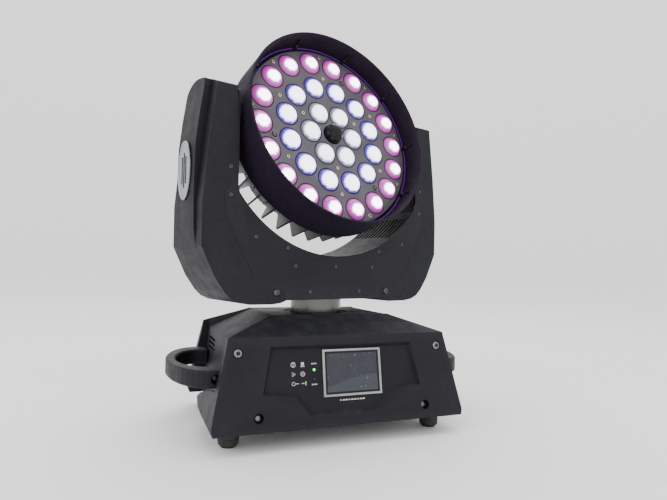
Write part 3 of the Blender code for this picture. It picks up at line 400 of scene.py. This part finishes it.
CHARCOAL = (0.0095, 0.0095, 0.0125)
FINISH = {
    "cover": moulded("moulded_charcoal", CHARCOAL, 0.52),
    "handle": moulded("moulded_handle", (0.008, 0.008, 0.010), 0.5, 1800),
    # The hood is dark plastic; its violet tint is painted light, the violet spill of the lenses on the hood's
    # inner wall.
    "hood": moulded("moulded_hood_painted_violet_cast", (0.0066, 0.0042, 0.0100), 0.66, 2000, 0.0001, 0.02),
    "fine_black": moulded("fine_black", (0.006, 0.006, 0.007), 0.38, 2600, 0.00006, 0.02),
    "gloss_black": moulded("gloss_black", (0.006, 0.006, 0.007), 0.14, 3200, 0.00001, 0.0),
    "plate": powder_coat("powder_coat", (0.0095, 0.0095, 0.0125)),
    "trough": powder_coat("powder_coat_trough", (0.018, 0.019, 0.020), 0.48),
    "steel": machined("turned_steel", (0.13, 0.128, 0.126), 0.18),
    "screw": machined("screw_steel", (0.50, 0.49, 0.47), 0.3, (700, 700, 700), 0.00002),
    "panel_screw": machined("panel_screw", (0.80, 0.72, 0.58), 0.3, (700, 700, 700), 0.00002),
    "cover_screw": machined("cover_screw", (0.22, 0.215, 0.21), 0.34, (700, 700, 700), 0.00002),
    "black_screw": machined("black_screw", (0.10, 0.10, 0.105), 0.35, (700, 700, 700), 0.00002),
    "aluminium": machined("milled_aluminium", (0.66, 0.66, 0.68), 0.32, (40, 900, 40)),
    "fins": anodised("anodised_fins", (0.034, 0.036, 0.040)),
    "panel": anodised("anodised_panel", (0.060, 0.056, 0.064), 0.55),
    "rubber": soft_rubber("foot_rubber", (0.009, 0.009, 0.009)),
    "belt": soft_rubber("belt_rubber", (0.02, 0.02, 0.02)),
    "board": circuit_board("circuit_board"),
    "display_frame": moulded("display_frame_grey", (0.20, 0.205, 0.21), 0.38, 2200, 0.00004, 0.0),
    "glass": touch_glass("touch_glass"),
    "badge": machined("badge_plate", (0.40, 0.44, 0.45), 0.34, (60, 60, 900)),
    "print": printed("pale_print", (0.62, 0.62, 0.60)),
    "blue": moulded("socket_blue", (0.02, 0.10, 0.42), 0.4, 2200, 0.00005, 0.0),
    "grey": moulded("socket_grey", (0.30, 0.30, 0.31), 0.42, 2200, 0.00005, 0.0),
    "brass": machined("contact_brass", (0.62, 0.46, 0.20), 0.3, (200, 200, 900)),
    "green_light": glowing("green_light", (0.05, 0.95, 0.12), 2.6),
    "unlit": glowing("unlit_lamp", (0.030, 0.020, 0.020), 0.0),
    "leak": glowing("violet_spill", (0.13, 0.004, 0.30), 0.30),
    "lens_outer": light_cell("lens_magenta", (1.0, 0.93, 0.98), (0.72, 0.0, 0.62), 8.0, 0.62,
                             0.56),
    "lens_middle": light_cell("lens_violet", (0.90, 0.90, 1.0), (0.08, 0.01, 0.80), 4.5, 0.62,
                              0.76),
    "lens_inner": light_cell("lens_white", (0.90, 0.92, 1.0), (0.24, 0.25, 0.42), 3.6, 0.7,
                             0.76),
    "clear": moulded("lens_web", (0.10, 0.09, 0.12), 0.3, 1800, 0.00003, 0.0),
}

NODE_FINISH = {
    "black_plastic": "cover", "black_metal": "plate", "bare_steel": "steel",
    "aluminium": "aluminium", "dark_aluminium": "fins", "rubber": "rubber",
    "belt_rubber": "belt", "board_green": "board", "frame_grey": "display_frame",
    "display_black": "glass", "badge_silver": "badge", "lens_clear": "clear",
}
SPECIAL_FINISH = {
    "handle_left": "handle", "handle_right": "handle", "head_hood": "hood",
    "yoke_trough": "trough", "lens_panel": "panel", "centre_post": "gloss_black",
    "mains_inlet": "fine_black", "mains_outlet": "fine_black", "fuse_holder": "fine_black",
    "fan_frame": "fine_black", "fan_rotor": "fine_black",
}
# Width of the rounding on each CAD node's own edges, in millimetres
EDGE_WIDTH = {
    "base_front_cover": 1.2, "base_rear_cover": 1.2, "base_middle_cover": 1.0,
    "handle_left": 1.0, "handle_right": 1.0, "display_frame": 0.6, "display_glass": 0.3,
    "yoke_front_plate": 0.35, "yoke_rear_plate": 0.35, "yoke_trough": 0.3,
    "arm_cover_left": 1.4, "arm_cover_right": 1.4, "arm_badge_left": 0.45,
    "arm_badge_right": 0.45, "head_hood": 0.3, "heat_sink": 0.3, "lens_panel": 0.3,
    "fan_frame": 0.6, "head_bracket_left": 0.6, "head_bracket_right": 0.6,
    "foot_front_left": 0.8, "foot_front_right": 0.8, "foot_rear_left": 0.8,
    "foot_rear_right": 0.8, "fuse_holder": 0.5, "mains_inlet": 0.5, "mains_outlet": 0.5,
    "dmx_socket_in": 0.5, "dmx_socket_out": 0.5, "dmx_latch": 0.3, "base_chassis": 0.4,
    "pan_tube": 0.4, "pan_bearing": 0.6, "head_rear_cover": 0.6, "rear_panel": 0.3,
}
SOFT_NORMALS = ("handle_left", "handle_right")


def dress_nodes():
    slots = {entry["node"]: entry["material_slot"] for entry in frame["record"]["subparts"]}
    for name, item in NODES.items():
        look = SPECIAL_FINISH.get(name) or NODE_FINISH[slots[name]]
        item.data.materials.clear()
        item.data.materials.append(FINISH[look])
        item.data.shade_smooth()
        item.data.set_sharp_from_angle(angle=math.radians(SHARP_DEGREES))
        if name in EDGE_WIDTH:
            flat = item.modifiers.new("flat_faces", "DECIMATE")
            flat.decimate_type = "DISSOLVE"
            flat.angle_limit = math.radians(1.0)
            edge = item.modifiers.new("rounded_edges", "BEVEL")
            edge.width = EDGE_WIDTH[name] * MM
            edge.segments = 2
            edge.limit_method = "ANGLE"
            edge.angle_limit = math.radians(SHARP_DEGREES)
            edge.use_clamp_overlap = True
            edge.harden_normals = name not in SOFT_NORMALS
        if name in SOFT_NORMALS:
            item.data.set_sharp_from_angle(angle=math.radians(70))
            item.modifiers.new("even_shading", "WEIGHTED_NORMAL")


# ---------------------------------------------------------------- mesh building


def solid(bm):
    bmesh.ops.recalc_face_normals(bm, faces=bm.faces)
    mesh = bpy.data.meshes.new("piece")
    bm.to_mesh(mesh)
    bm.free()
    return mesh


def show(name, mesh, look, body, matrix=IDENTITY, angle=35):
    """Puts a mesh in the scene as a piece that rides on a body."""
    item = bpy.data.objects.new(name, mesh)
    bpy.context.scene.collection.objects.link(item)
    item.matrix_world = matrix
    if not mesh.materials:
        mesh.materials.append(FINISH[look])
        mesh.shade_smooth()
        mesh.set_sharp_from_angle(angle=math.radians(angle))
    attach(item, body)
    return item


def add_turned(bm, profile, segments, matrix=IDENTITY):
    """Adds a closed solid turned about Z from a profile of (radius, height) in millimetres."""
    rings = []
    for radius, height in profile:
        if radius == 0:
            rings.append([bm.verts.new(matrix @ (Vector((0, 0, height)) * MM))])
            continue
        ring = []
        for step in range(segments):
            angle = 2 * math.pi * step / segments
            point = Vector((radius * math.cos(angle), radius * math.sin(angle), height)) * MM
            ring.append(bm.verts.new(matrix @ point))
        rings.append(ring)
    for first, second in zip(rings, rings[1:]):
        for step in range(segments):
            following = (step + 1) % segments
            if len(first) == 1:
                bm.faces.new((first[0], second[step], second[following]))
            elif len(second) == 1:
                bm.faces.new((first[step], first[following], second[0]))
            else:
                bm.faces.new((first[step], first[following], second[following], second[step]))
    return rings


def add_ring(bm, profile, segments, matrix=IDENTITY):
    """Adds a ring: a closed profile of (radius, height) turned about Z."""
    rings = add_turned(bm, profile, segments, matrix)
    first = rings[-1]
    second = rings[0]
    for step in range(segments):
        following = (step + 1) % segments
        bm.faces.new((first[step], first[following], second[following], second[step]))


def add_block(bm, low, high, matrix=IDENTITY, chamfer=0.0):
    """Adds a box in millimetres, with chamfered edges if asked."""
    made = bmesh.ops.create_cube(bm, size=1.0)
    for vertex in made["verts"]:
        for axis in range(3):
            middle = (low[axis] + high[axis]) / 2
            vertex.co[axis] = (middle + vertex.co[axis] * (high[axis] - low[axis])) * MM
    if chamfer:
        edges = list({edge for vertex in made["verts"] for edge in vertex.link_edges})
        result = bmesh.ops.bevel(bm, geom=edges, offset=chamfer * MM, segments=2, profile=0.6,
                                 affect="EDGES")
        vertices = {vertex for face in result["faces"] for vertex in face.verts}
        vertices |= {vertex for vertex in made["verts"] if vertex.is_valid}
    else:
        vertices = set(made["verts"])
    bmesh.ops.transform(bm, matrix=matrix, verts=list(vertices))


def add_prism(bm, outline, low, high, matrix=IDENTITY):
    """Adds an outline in the XY plane, extruded from low to high."""
    bottom = [bm.verts.new(matrix @ (Vector((x, y, low)) * MM)) for x, y in outline]
    top = [bm.verts.new(matrix @ (Vector((x, y, high)) * MM)) for x, y in outline]
    bm.faces.new(list(reversed(bottom)))
    bm.faces.new(top)
    count = len(outline)
    for step in range(count):
        following = (step + 1) % count
        bm.faces.new((bottom[step], bottom[following], top[following], top[step]))


def cut(mesh, cutter):
    """The mesh with the cutter's shape taken out of it."""
    body = bpy.data.objects.new("cut_body", mesh)
    tool = bpy.data.objects.new("cut_tool", cutter)
    for item in (body, tool):
        bpy.context.scene.collection.objects.link(item)
    modifier = body.modifiers.new("cut", "BOOLEAN")
    modifier.operation = "DIFFERENCE"
    modifier.solver = "EXACT"
    modifier.object = tool
    bpy.context.view_layer.update()
    depsgraph = bpy.context.evaluated_depsgraph_get()
    result = bpy.data.meshes.new_from_object(body.evaluated_get(depsgraph))
    bpy.data.objects.remove(body)
    bpy.data.objects.remove(tool)
    return result


def spread(name, mesh, matrices, look, body):
    """One piece made of copies of a mesh at each matrix."""
    bm = bmesh.new()
    for matrix in matrices:
        before = len(bm.verts)
        bm.from_mesh(mesh)
        bm.verts.ensure_lookup_table()
        bmesh.ops.transform(bm, matrix=matrix, verts=bm.verts[before:])
    made = bpy.data.meshes.new(name)
    bm.to_mesh(made)
    bm.free()
    return show(name, made, look, body)


def cross_screw(radius, height):
    """A domed screw head with a cross recess. Its seat is at z 0."""
    head = bmesh.new()
    profile = [(0, -0.4), (radius * 0.97, -0.4), (radius, height * 0.25)]
    for step in range(1, 5):
        angle = math.pi / 2 * step / 4.5
        profile.append((radius * math.cos(angle) ** 0.8,
                        height * (0.25 + 0.75 * math.sin(angle))))
    profile.append((0, height))
    add_turned(head, profile, 24)
    tool = bmesh.new()
    arm = radius * 0.62
    half = radius * 0.15
    plus = [(arm, -half), (arm, half), (half, half), (half, arm), (-half, arm), (-half, half),
            (-arm, half), (-arm, -half), (-half, -half), (-half, -arm), (half, -arm),
            (half, -half)]
    add_prism(tool, plus, height * 0.42, height + 1)
    return cut(solid(head), solid(tool))


def socket_screw(radius, height):
    """A low flat screw head with a chamfered rim and a deep hex socket. Its seat is at z 0."""
    head = bmesh.new()
    add_turned(head, [(0, -0.3), (radius, -0.3), (radius, height * 0.6), (radius * 0.9, height),
                      (0, height)], 24)
    tool = bmesh.new()
    hexagon = [(radius * 0.5 * math.cos(math.pi / 3 * step),
                radius * 0.5 * math.sin(math.pi / 3 * step)) for step in range(6)]
    add_prism(tool, hexagon, height * 0.15 - 0.2, height + 1)
    return cut(solid(head), solid(tool))


# ---------------------------------------------------------------- base pieces


def base_fasteners():
    large = cross_screw(5.2, 2.6)
    medium = cross_screw(4.6, 2.2)
    # Black discs in the cross recesses of the top screws: painted shade where the recesses lie in shadow.
    dark = bmesh.new()
    add_turned(dark, [(0, 1.9), (2.3, 1.9), (2.3, 2.52), (0, 2.66)], 20)
    tops = []
    lows = []
    for face in (FRONT, REAR):
        for side in (-1, 1):
            tops.append(face @ shift(side * 134.5, 92.3, -1.3) @ turn("Z", 20 * side))
            lows.append(face @ shift(side * 110.9, 16.8, -7.9) @ turn("Z", -35 * side))
    spread("cover_screws_top", large, tops, "cover_screw", "base")
    spread("cover_screws_low", medium, lows, "cover_screw", "base")
    spread("cover_screw_painted_recess_shade", solid(dark), tops, "fine_black", "base")
    ends = []
    for side in (-1, 1):
        for end in (-1, 1):
            ends.append(shift(side * 157, end * 88.2, 58.7) @ turn("X", -90 * end))
    spread("handle_screws", cross_screw(4.4, 2.4), ends, "black_screw", "base")
    under = [shift(x, y, -22.65) @ turn("X", 180)
             for x in (-FOOT_X, FOOT_X) for y in (-FOOT_Y, FOOT_Y)]
    spread("foot_screws", cross_screw(4.0, 1.0), under, "screw", "base")


def foot_ribs():
    bm = bmesh.new()
    inner = FOOT_RADIUS - 0.1
    outer = FOOT_RADIUS + 0.5
    for x in (-FOOT_X, FOOT_X):
        for y in (-FOOT_Y, FOOT_Y):
            for height in (-5, -9.5, -14):
                profile = [(inner, height - 0.8), (outer, height - 0.5), (outer, height + 0.5),
                           (inner, height + 0.8)]
                add_ring(bm, profile, 32, shift(x, y, 0))
    show("foot_ribs", solid(bm), "rubber", "base")


def indicators():
    seats = bmesh.new()
    for index, height in enumerate((69.0, 57.8)):
        place = FRONT @ shift(-39.7, height, RECESS_FLOOR)
        add_ring(seats, [(1.7, 0), (2.5, 0), (2.4, 0.5), (1.8, 0.6)], 24, place)
        bulb = bmesh.new()
        add_turned(bulb, [(0, 0), (1.65, 0), (1.6, 0.5), (1.1, 1.1), (0.5, 1.35), (0, 1.4)], 20,
                   place)
        look = "green_light" if index == 0 else "unlit"
        show(f"indicator_{index + 1}", solid(bulb), look, "base")
    show("indicator_seats", solid(seats), "fine_black", "base")


def mark_ring(bm, x, y, radius, width, sides=20):
    add_ring(bm, [(radius - width, 0), (radius, 0), (radius, 0.12), (radius - width, 0.12)],
             sides, FRONT @ shift(x, y, RECESS_FLOOR))


def mark_bar(bm, x, y, half_width, half_height, degrees=0):
    add_block(bm, (-half_width, -half_height, 0), (half_width, half_height, 0.12),
              FRONT @ shift(x, y, RECESS_FLOOR) @ turn("Z", degrees))


def panel_marks():
    """Plain printed signs: rings, bars and a triangle that stand for no real mark."""
    bm = bmesh.new()
    for row, height in enumerate((76.0, 64.6, 53.4)):
        left = -66.5
        right = -54.5
        if row == 0:
            mark_ring(bm, left, height, 3.1, 0.75)
            mark_bar(bm, left, height, 0.35, 2.2)
            mark_bar(bm, right, height - 2.4, 2.6, 0.4)
            mark_bar(bm, right, height + 0.6, 1.9, 2.0)
        if row == 1:
            mark_ring(bm, left, height, 3.3, 0.6, 3)
            mark_bar(bm, left, height - 0.2, 0.3, 1.1)
            mark_ring(bm, right, height, 2.9, 0.7)
            mark_bar(bm, right, height, 1.5, 0.35, 45)
        if row == 2:
            mark_ring(bm, left, height, 2.4, 0.6)
            mark_bar(bm, left + 5.0, height, 1.8, 0.4)
            mark_bar(bm, right, height, 1.8, 0.4)
            mark_bar(bm, right + 3.6, height, 0.5, 2.3)
    for height in (76.4, 51.4):
        for column in range(3):
            mark_bar(bm, -42.2 + column * 2.5, height, 0.85, 0.75)
    for column in range(9):
        wide = 1.5 if column % 3 else 1.0
        mark_bar(bm, -6.0 + column * 3.9, 30.4, wide, 0.75)
    show("panel_marks", solid(bm), "print", "base")


def display_details():
    x, y = DISPLAY_CENTRE
    place = FRONT @ shift(x, y, RECESS_FLOOR)
    bm = bmesh.new()
    for low, high in (((-36.6, -25.8), (-34.4, 25.8)), ((34.4, -25.8), (36.6, 25.8)),
                      ((-34.4, 23.6), (34.4, 25.8)), ((-34.4, -25.8), (34.4, -23.6))):
        add_block(bm, (*low, 1.5), (*high, 1.56), place)
    show("display_mask", solid(bm), "gloss_black", "base")


def socket_details():
    small = cross_screw(2.0, 1.0)
    flange = 2.4
    screws = []
    for across in (INLET_X, OUTLET_X, DATA_IN_X, DATA_OUT_X):
        for side, end in ((-1, 1), (1, -1)):
            screws.append(REAR @ shift(across + side * 10.6, SOCKET_HEIGHT + end * 12.8,
                                       SOCKET_SEAT + flange))
    spread("socket_screws", small, screws, "screw", "base")
    for name, across, look in (("inlet", INLET_X, "blue"), ("outlet", OUTLET_X, "grey")):
        bm = bmesh.new()
        place = REAR @ shift(across, SOCKET_HEIGHT, SOCKET_SEAT)
        add_ring(bm, [(10.6, 2.4), (12.6, 2.4), (12.4, 3.6), (10.8, 3.6)], 40, place)
        add_turned(bm, [(0, -15.9), (6.4, -15.9), (6.4, -3.0), (5.8, -2.4), (0, -2.4)], 32,
                   place)
        show(f"{name}_ring", solid(bm), look, "base")
        pins = bmesh.new()
        for step in range(3):
            blade = place @ turn("Z", 120 * step + 90)
            add_block(pins, (6.6, -1.6, -15.8), (7.6, 1.6, -5.0), blade, 0.2)
        show(f"{name}_contacts", solid(pins), "brass", "base")
    for name, across in (("data_in", DATA_IN_X), ("data_out", DATA_OUT_X)):
        place = REAR @ shift(across, SOCKET_HEIGHT, SOCKET_SEAT)
        bm = bmesh.new()
        add_turned(bm, [(0, -15.9), (7.2, -15.9), (7.2, -4.6), (6.8, -4.2), (0, -4.2)], 32,
                   place)
        show(f"{name}_core", solid(bm), "fine_black", "base")
        pins = bmesh.new()
        for step in range(3):
            angle = math.radians(90 + 120 * step)
            at = place @ shift(3.9 * math.cos(angle), 3.9 * math.sin(angle), 0)
            add_turned(pins, [(0, -4.2), (1.25, -4.2), (1.25, 1.0), (0.8, 1.7), (0, 1.8)], 16,
                       at)
        show(f"{name}_pins", solid(pins), "brass", "base")
    cap = bmesh.new()
    place = REAR @ shift(FUSE_X, SOCKET_HEIGHT, SOCKET_SEAT + 6)
    profile = [(0, 1.6), (5.6, 1.6), (6.2, 1.0), (6.2, 0), (0, 0)]
    add_turned(cap, profile, 32, place)
    tool = bmesh.new()
    add_block(tool, (-4.6, -0.7, 0.8), (4.6, 0.7, 3), place)
    show("fuse_cap", cut(solid(cap), solid(tool)), "fine_black", "base")
    plate = bmesh.new()
    add_block(plate, (-30, -4.5, -0.3), (30, 4.5, 0.2), REAR @ shift(2, 80.5, SOCKET_SEAT),
              0.12)
    show("rating_plate", solid(plate), "grey", "base")


def supply_details():
    """Terminals and round capacitors in the base, hidden behind the front cover."""
    bm = bmesh.new()
    pitch = 20
    for step in range(6):
        left = -58 + step * pitch
        add_block(bm, (left, 26, -24.2), (left + 12, 40, -20.5), FRONT, 0.4)
        add_turned(bm, [(0, -24.2), (4, -24.2), (4, -15), (3.6, -14.4), (0, -14.4)], 20,
                   FRONT @ shift(left + 8, 60, 0))
    show("board_parts", solid(bm), "fine_black", "base")


# ---------------------------------------------------------------- yoke pieces

PLATE_BIG_SCREW = (93.4, 159.7)
PLATE_SMALL_SCREWS = (
    (42.0, 160.1), (124.6, 230.3), (78.1, 218.2), (65.6, 194.7), (160.4, 280.2), (161.5, 314.7),
)
BADGE_OUT = 202.5
BADGE_HEIGHT = 311
BADGE_HALF_LENGTH = 37.3
BADGE_HALF_WIDTH = 19.0
BADGE_SIDES = 64


def yoke_fasteners():
    small = socket_screw(2.3, 0.8)
    large = cross_screw(4.6, 2.0)
    places = []
    big = []
    for facing, y in ((90, -YOKE_HALF_DEPTH), (-90, YOKE_HALF_DEPTH)):
        out = turn("X", facing)
        for side in (-1, 1):
            for x, z in PLATE_SMALL_SCREWS:
                places.append(YOKE @ shift(side * x, y, z) @ out)
            x, z = PLATE_BIG_SCREW
            big.append(YOKE @ shift(side * x, y, z) @ out @ turn("Z", 15))
        places.append(YOKE @ shift(0, y, 194.7) @ out)
    spread("yoke_screws_small", small, places, "black_screw", "yoke")
    spread("yoke_screws_large", large, big, "black_screw", "yoke")


def badge_details():
    """A raised rim and three plain bars on each arm's oval plate."""
    for side, name in ((-1, "left"), (1, "right")):
        place = YOKE @ shift(side * BADGE_OUT, 0, BADGE_HEIGHT) @ turn("Y", 90 * side)
        rim = bmesh.new()
        rings = []
        for grow, height in ((0.0, 0.0), (-0.3, 0.7), (-1.6, 0.9), (-2.4, 0.15), (-2.4, -0.1)):
            ring = []
            for step in range(BADGE_SIDES):
                angle = 2 * math.pi * step / BADGE_SIDES
                along = (BADGE_HALF_LENGTH + grow) * math.cos(angle)
                across = (BADGE_HALF_WIDTH + grow) * math.sin(angle)
                ring.append(rim.verts.new(place @ (Vector((along, across, height)) * MM)))
            rings.append(ring)
        for first, second in zip(rings, rings[1:]):
            for step in range(BADGE_SIDES):
                following = (step + 1) % BADGE_SIDES
                rim.faces.new((first[step], first[following], second[following],
                               second[step]))
        rim.faces.new(rings[-1])
        show(f"badge_rim_{name}", solid(rim), "badge", "yoke")
        bars = bmesh.new()
        for middle, length in ((-6, 17), (0, 22), (6, 17)):
            add_block(bars, (-length, middle - 1.1, 0.1), (length, middle + 1.1, 0.5), place,
                      0.15)
        show(f"badge_bars_{name}", solid(bars), "fine_black", "yoke")


def bearing_seal():
    seal = bmesh.new()
    add_ring(seal, [(37.2, 128.4), (44.8, 128.4), (44.4, 128.9), (37.6, 129.0)], 96)
    show("bearing_seal", solid(seal), "rubber", "base")


# ---------------------------------------------------------------- head pieces


def lens_mesh():
    """A moulded lens: a plug, a thin flange and a dome."""
    bm = bmesh.new()
    profile = [(0, -4.4), (15.2, -4.4), (15.9, -0.6), (16.0, -0.1), (15.9, 0.4), (15.4, 0.7),
               (15.0, 0.75)]
    for step in range(1, 9):
        angle = math.pi / 2 * step / 9
        profile.append((15.0 * math.cos(angle), 0.75 + 5.4 * math.sin(angle)))
    profile.append((0, 6.15))
    add_turned(bm, profile, 40)
    return solid(bm)


def lenses():
    looks = ("lens_inner", "lens_middle", "lens_outer")
    shared = [lens_mesh() for look in looks]
    for number, (ring, at) in enumerate(lens_places(PANEL_FRONT), start=1):
        show(f"lens_{number:02d}", shared[ring], looks[ring], "zoom_carriage", at,
             50)
    bm = bmesh.new()
    back = PANEL_FRONT - 3.3
    add_ring(bm, [(14.9, back - 2.4), (131, back - 2.4), (131, back), (14.9, back)], 72, HEAD)
    web = show("lens_web", solid(bm), "clear", "zoom_carriage")
    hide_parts("lens_array")


def lens_bezels():
    bm = bmesh.new()
    profile = [(16.15, -0.6), (17.5, -0.05), (17.35, 0.28), (16.6, 0.3), (16.2, 0.0)]
    for _, at in lens_places(PANEL_FRONT):
        add_ring(bm, profile, 40, at)
    show("lens_bezels", solid(bm), "fine_black", "zoom_carriage")


def panel_fasteners():
    small = socket_screw(2.5, 0.8)
    # Black plugs in the hex sockets of the panel screws: painted shade where the sockets lie in shadow.
    dark = bmesh.new()
    add_turned(dark, [(0, 0.4), (1.35, 0.4), (1.35, 0.83), (0, 0.83)], 20)
    # Each ring of screws: its radius, how many, and where it starts in degrees
    rings = ((91.9, 6, 30), (52.0, 3, 30), (127.5, 3, 50), (128.0, 9, 10))
    places = [on_head(radius, start + 360 // count * step, PANEL_FRONT)
              for radius, count, start in rings for step in range(count)]
    spread("panel_screws", small, places, "panel_screw", "zoom_carriage")
    spread("panel_screw_painted_socket_shade", solid(dark), places, "fine_black", "zoom_carriage")
    nuts = bmesh.new()
    for degrees in ZOOM_SCREW_DEGREES:
        at = on_head(ZOOM_SCREW_RING, degrees, PANEL_FRONT)
        add_ring(nuts, [(4.5, 0), (5.9, 0), (5.9, 0.6), (5.4, 1.0), (4.9, 1.0), (4.5, 0.7)], 32,
                 at)
    show("screw_nuts", solid(nuts), "cover_screw", "zoom_carriage")


def zoom_screw_threads():
    """Ridges that turn with each zoom screw."""
    for index, (letter, degrees) in enumerate(zip("abc", ZOOM_SCREW_DEGREES), start=1):
        at = on_head(ZOOM_SCREW_RING, degrees, 0)
        bm = bmesh.new()
        for step in range(9):
            low = 16.5 + 2.0 * step
            add_ring(bm, [(3.5, low), (4.1, low + 0.6), (3.5, low + 1.2)], 20, at)
        tip = at @ shift(0, 0, 36.2)
        add_turned(bm, [(0, 0.9), (2.4, 0.8), (3.3, 0.3), (3.5, -0.2), (0, -0.2)], 20, tip)
        show(f"zoom_thread_{index}", solid(bm), "black_screw", f"zoom_screw_{letter}")


def hood_details():
    lip = bmesh.new()
    add_ring(lip, [(141.6, 63.5), (144.0, 62.6), (144.35, 64.2), (143.9, 65.4), (142.6, 65.8),
                   (141.4, 65.2)], 144, HEAD)
    show("hood_lip", solid(lip), "hood", "head")
    bosses = bmesh.new()
    screws = []
    count = 10
    for step in range(count):
        at = HEAD @ turn("Z", 360 // count * step)
        add_block(bosses, (136.6, -2.6, 33.4), (141.4, 2.6, 41.0), at, 0.8)
        add_block(bosses, (138.4, -0.9, 41.0), (141.3, 0.9, 52.0), at, 0.3)
        screws.append(at @ shift(138.6, 0, 41.0))
    show("hood_bosses", solid(bosses), "hood", "head")
    spread("hood_boss_screws", cross_screw(1.7, 0.8), screws, "black_screw", "head")
    # The ring of light stays outside the lens web, which slides back past it.
    spill = bmesh.new()
    add_ring(spill, [(131.9, 17.6), (139.6, 17.6), (139.6, 18.6), (131.9, 18.6)], 120, HEAD)
    show("light_spill", solid(spill), "leak", "head")
    groove = bmesh.new()
    add_ring(groove, [(138.3, 33.4), (139.3, 33.4), (139.3, 34.4), (138.3, 34.4)], 120, HEAD)
    show("groove_glow", solid(groove), "leak", "head")


def emitters():
    bm = bmesh.new()
    board_front = 14
    for _, at in lens_places(board_front):
        add_block(bm, (-2.6, -2.6, 0), (2.6, 2.6, 0.8), at, 0.2)
    show("emitters", solid(bm), "print", "head")


def rear_details():
    guard = bmesh.new()
    for radius in (12, 19, 26, 33, 40):
        add_ring(guard, [(radius - 0.7, -102.4), (radius, -103.0), (radius + 0.7, -102.4),
                         (radius, -101.6)], 64, HEAD)
    for step in range(4):
        add_block(guard, (8, -1.0, -102.2), (46, 1.0, -100.9), HEAD @ turn("Z", 45 + 90 * step),
                  0.3)
    add_turned(guard, [(0, -103.2), (12, -103.0), (12, -101.4), (0, -101.4)], 40, HEAD)
    show("fan_guard", solid(guard), "plate", "head")
    screws = []
    for step in range(4):
        screws.append(HEAD @ turn("Z", 45 + 90 * step) @ shift(57, 0, -102.0) @ turn("X", 180))
    spread("rear_cap_screws", cross_screw(3.0, 1.4), screws, "screw", "head")
    ribs = bmesh.new()
    slope = math.degrees(math.atan2(10, 26))
    for step in range(36):
        at = (HEAD @ turn("Z", 10 * step) @ shift(81.0, 0, -85.0) @ turn("Y", slope))
        add_block(ribs, (-0.5, -1.1, -11.5), (1.3, 1.1, 11.5), at, 0.4)
    show("rear_cap_ribs", solid(ribs), "cover", "head")


def bracket_details():
    screws = []
    for side in (-1, 1):
        for y, z in ((-14, -14), (14, -14), (14, -2), (-14, -2)):
            at = HEAD @ shift(side * 145.5, y, z) @ turn("Y", 90 * side)
            screws.append(at)
    spread("bracket_screws", socket_screw(2.6, 1.2), screws, "screw", "head")


# ---------------------------------------------------------------- camera, floor and lights


CAMERA_PLACE = (-0.25957, -0.73275, 0.19471)
CAMERA_LENS = 28.59
CAMERA_YAW = 21.334
CAMERA_PITCH = 1.791
CAMERA_ROLL = 1.11


def camera():
    lens = bpy.data.cameras.new("camera")
    lens.sensor_width = 36.0
    lens.lens = CAMERA_LENS
    lens.clip_start = 0.01
    item = bpy.data.objects.new("camera", lens)
    bpy.context.scene.collection.objects.link(item)
    yaw = math.radians(CAMERA_YAW)
    pitch = math.radians(CAMERA_PITCH)
    roll = math.radians(CAMERA_ROLL)
    right = Vector((math.cos(yaw), -math.sin(yaw), 0))
    ahead = Vector((math.sin(yaw) * math.cos(pitch), math.cos(yaw) * math.cos(pitch),
                    math.sin(pitch)))
    above = right.cross(ahead)
    x_axis = math.cos(roll) * right + math.sin(roll) * above
    y_axis = -math.sin(roll) * right + math.cos(roll) * above
    item.matrix_world = basis(x_axis, y_axis, -ahead, CAMERA_PLACE)
    bpy.context.scene.camera = item


def area_light(name, position, target, size, power, colour=(1, 1, 1)):
    lamp = bpy.data.lights.new(name, "AREA")
    lamp.shape = "RECTANGLE"
    lamp.size = size[0]
    lamp.size_y = size[1]
    lamp.energy = power
    lamp.color = colour
    item = bpy.data.objects.new(name, lamp)
    bpy.context.scene.collection.objects.link(item)
    item.location = position
    item.rotation_euler = (Vector(target) - Vector(position)).to_track_quat("-Z", "Y").to_euler()


def studio():
    floor = bmesh.new()
    bmesh.ops.create_grid(floor, x_segments=4, y_segments=4, size=30.0)
    mesh = solid(floor)
    g = Graph("pale_floor")
    tone = g.ramp(g.noise(3, 3), [(0.3, (0.92, 0.92, 0.92)), (0.7, (0.94, 0.94, 0.94))])
    mesh.materials.append(g.finish(tone, g.span(g.noise(8, 2), 0.3, 0.7, 0.6, 0.7)))
    item = bpy.data.objects.new("floor", mesh)
    bpy.context.scene.collection.objects.link(item)
    item.location = (0, 0, CAD_BOX[0][2] - 0.0002)

    world = bpy.data.worlds.new("studio")
    bpy.context.scene.world = world
    world.use_nodes = True
    background = world.node_tree.nodes["Background"]
    background.inputs["Strength"].default_value = 1.55
    # The sky is a little darker at the horizon, where it meets the floor.
    nodes = world.node_tree.nodes
    links = world.node_tree.links
    split = nodes.new("ShaderNodeSeparateXYZ")
    sky = nodes.new("ShaderNodeMapRange")
    for slot_name, number in (("From Min", 0.0), ("From Max", 0.3), ("To Min", 0.93),
                              ("To Max", 1.0)):
        sky.inputs[slot_name].default_value = number
    links.new(nodes.new("ShaderNodeTexCoord").outputs["Generated"], split.inputs["Vector"])
    links.new(split.outputs["Z"], sky.inputs["Value"])
    links.new(sky.outputs["Result"], background.inputs["Color"])
    area_light("key", (-2.2, -0.6, 1.5), (0, 0, 0.25), (1.8, 1.8), 16)
    area_light("front_fill", (0.6, -2.4, 1.4), (0, 0, 0.3), (2.0, 1.4), 8)
    area_light("top", (0.3, 0.4, 2.4), (0, 0, 0.2), (2.0, 2.0), 26)


# ---------------------------------------------------------------- build

camera()
dress_nodes()
base_fasteners()
foot_ribs()
indicators()
panel_marks()
display_details()
socket_details()
supply_details()
yoke_fasteners()
badge_details()
bearing_seal()
lenses()
lens_bezels()
panel_fasteners()
zoom_screw_threads()
hood_details()
emitters()
rear_details()
bracket_details()
studio()
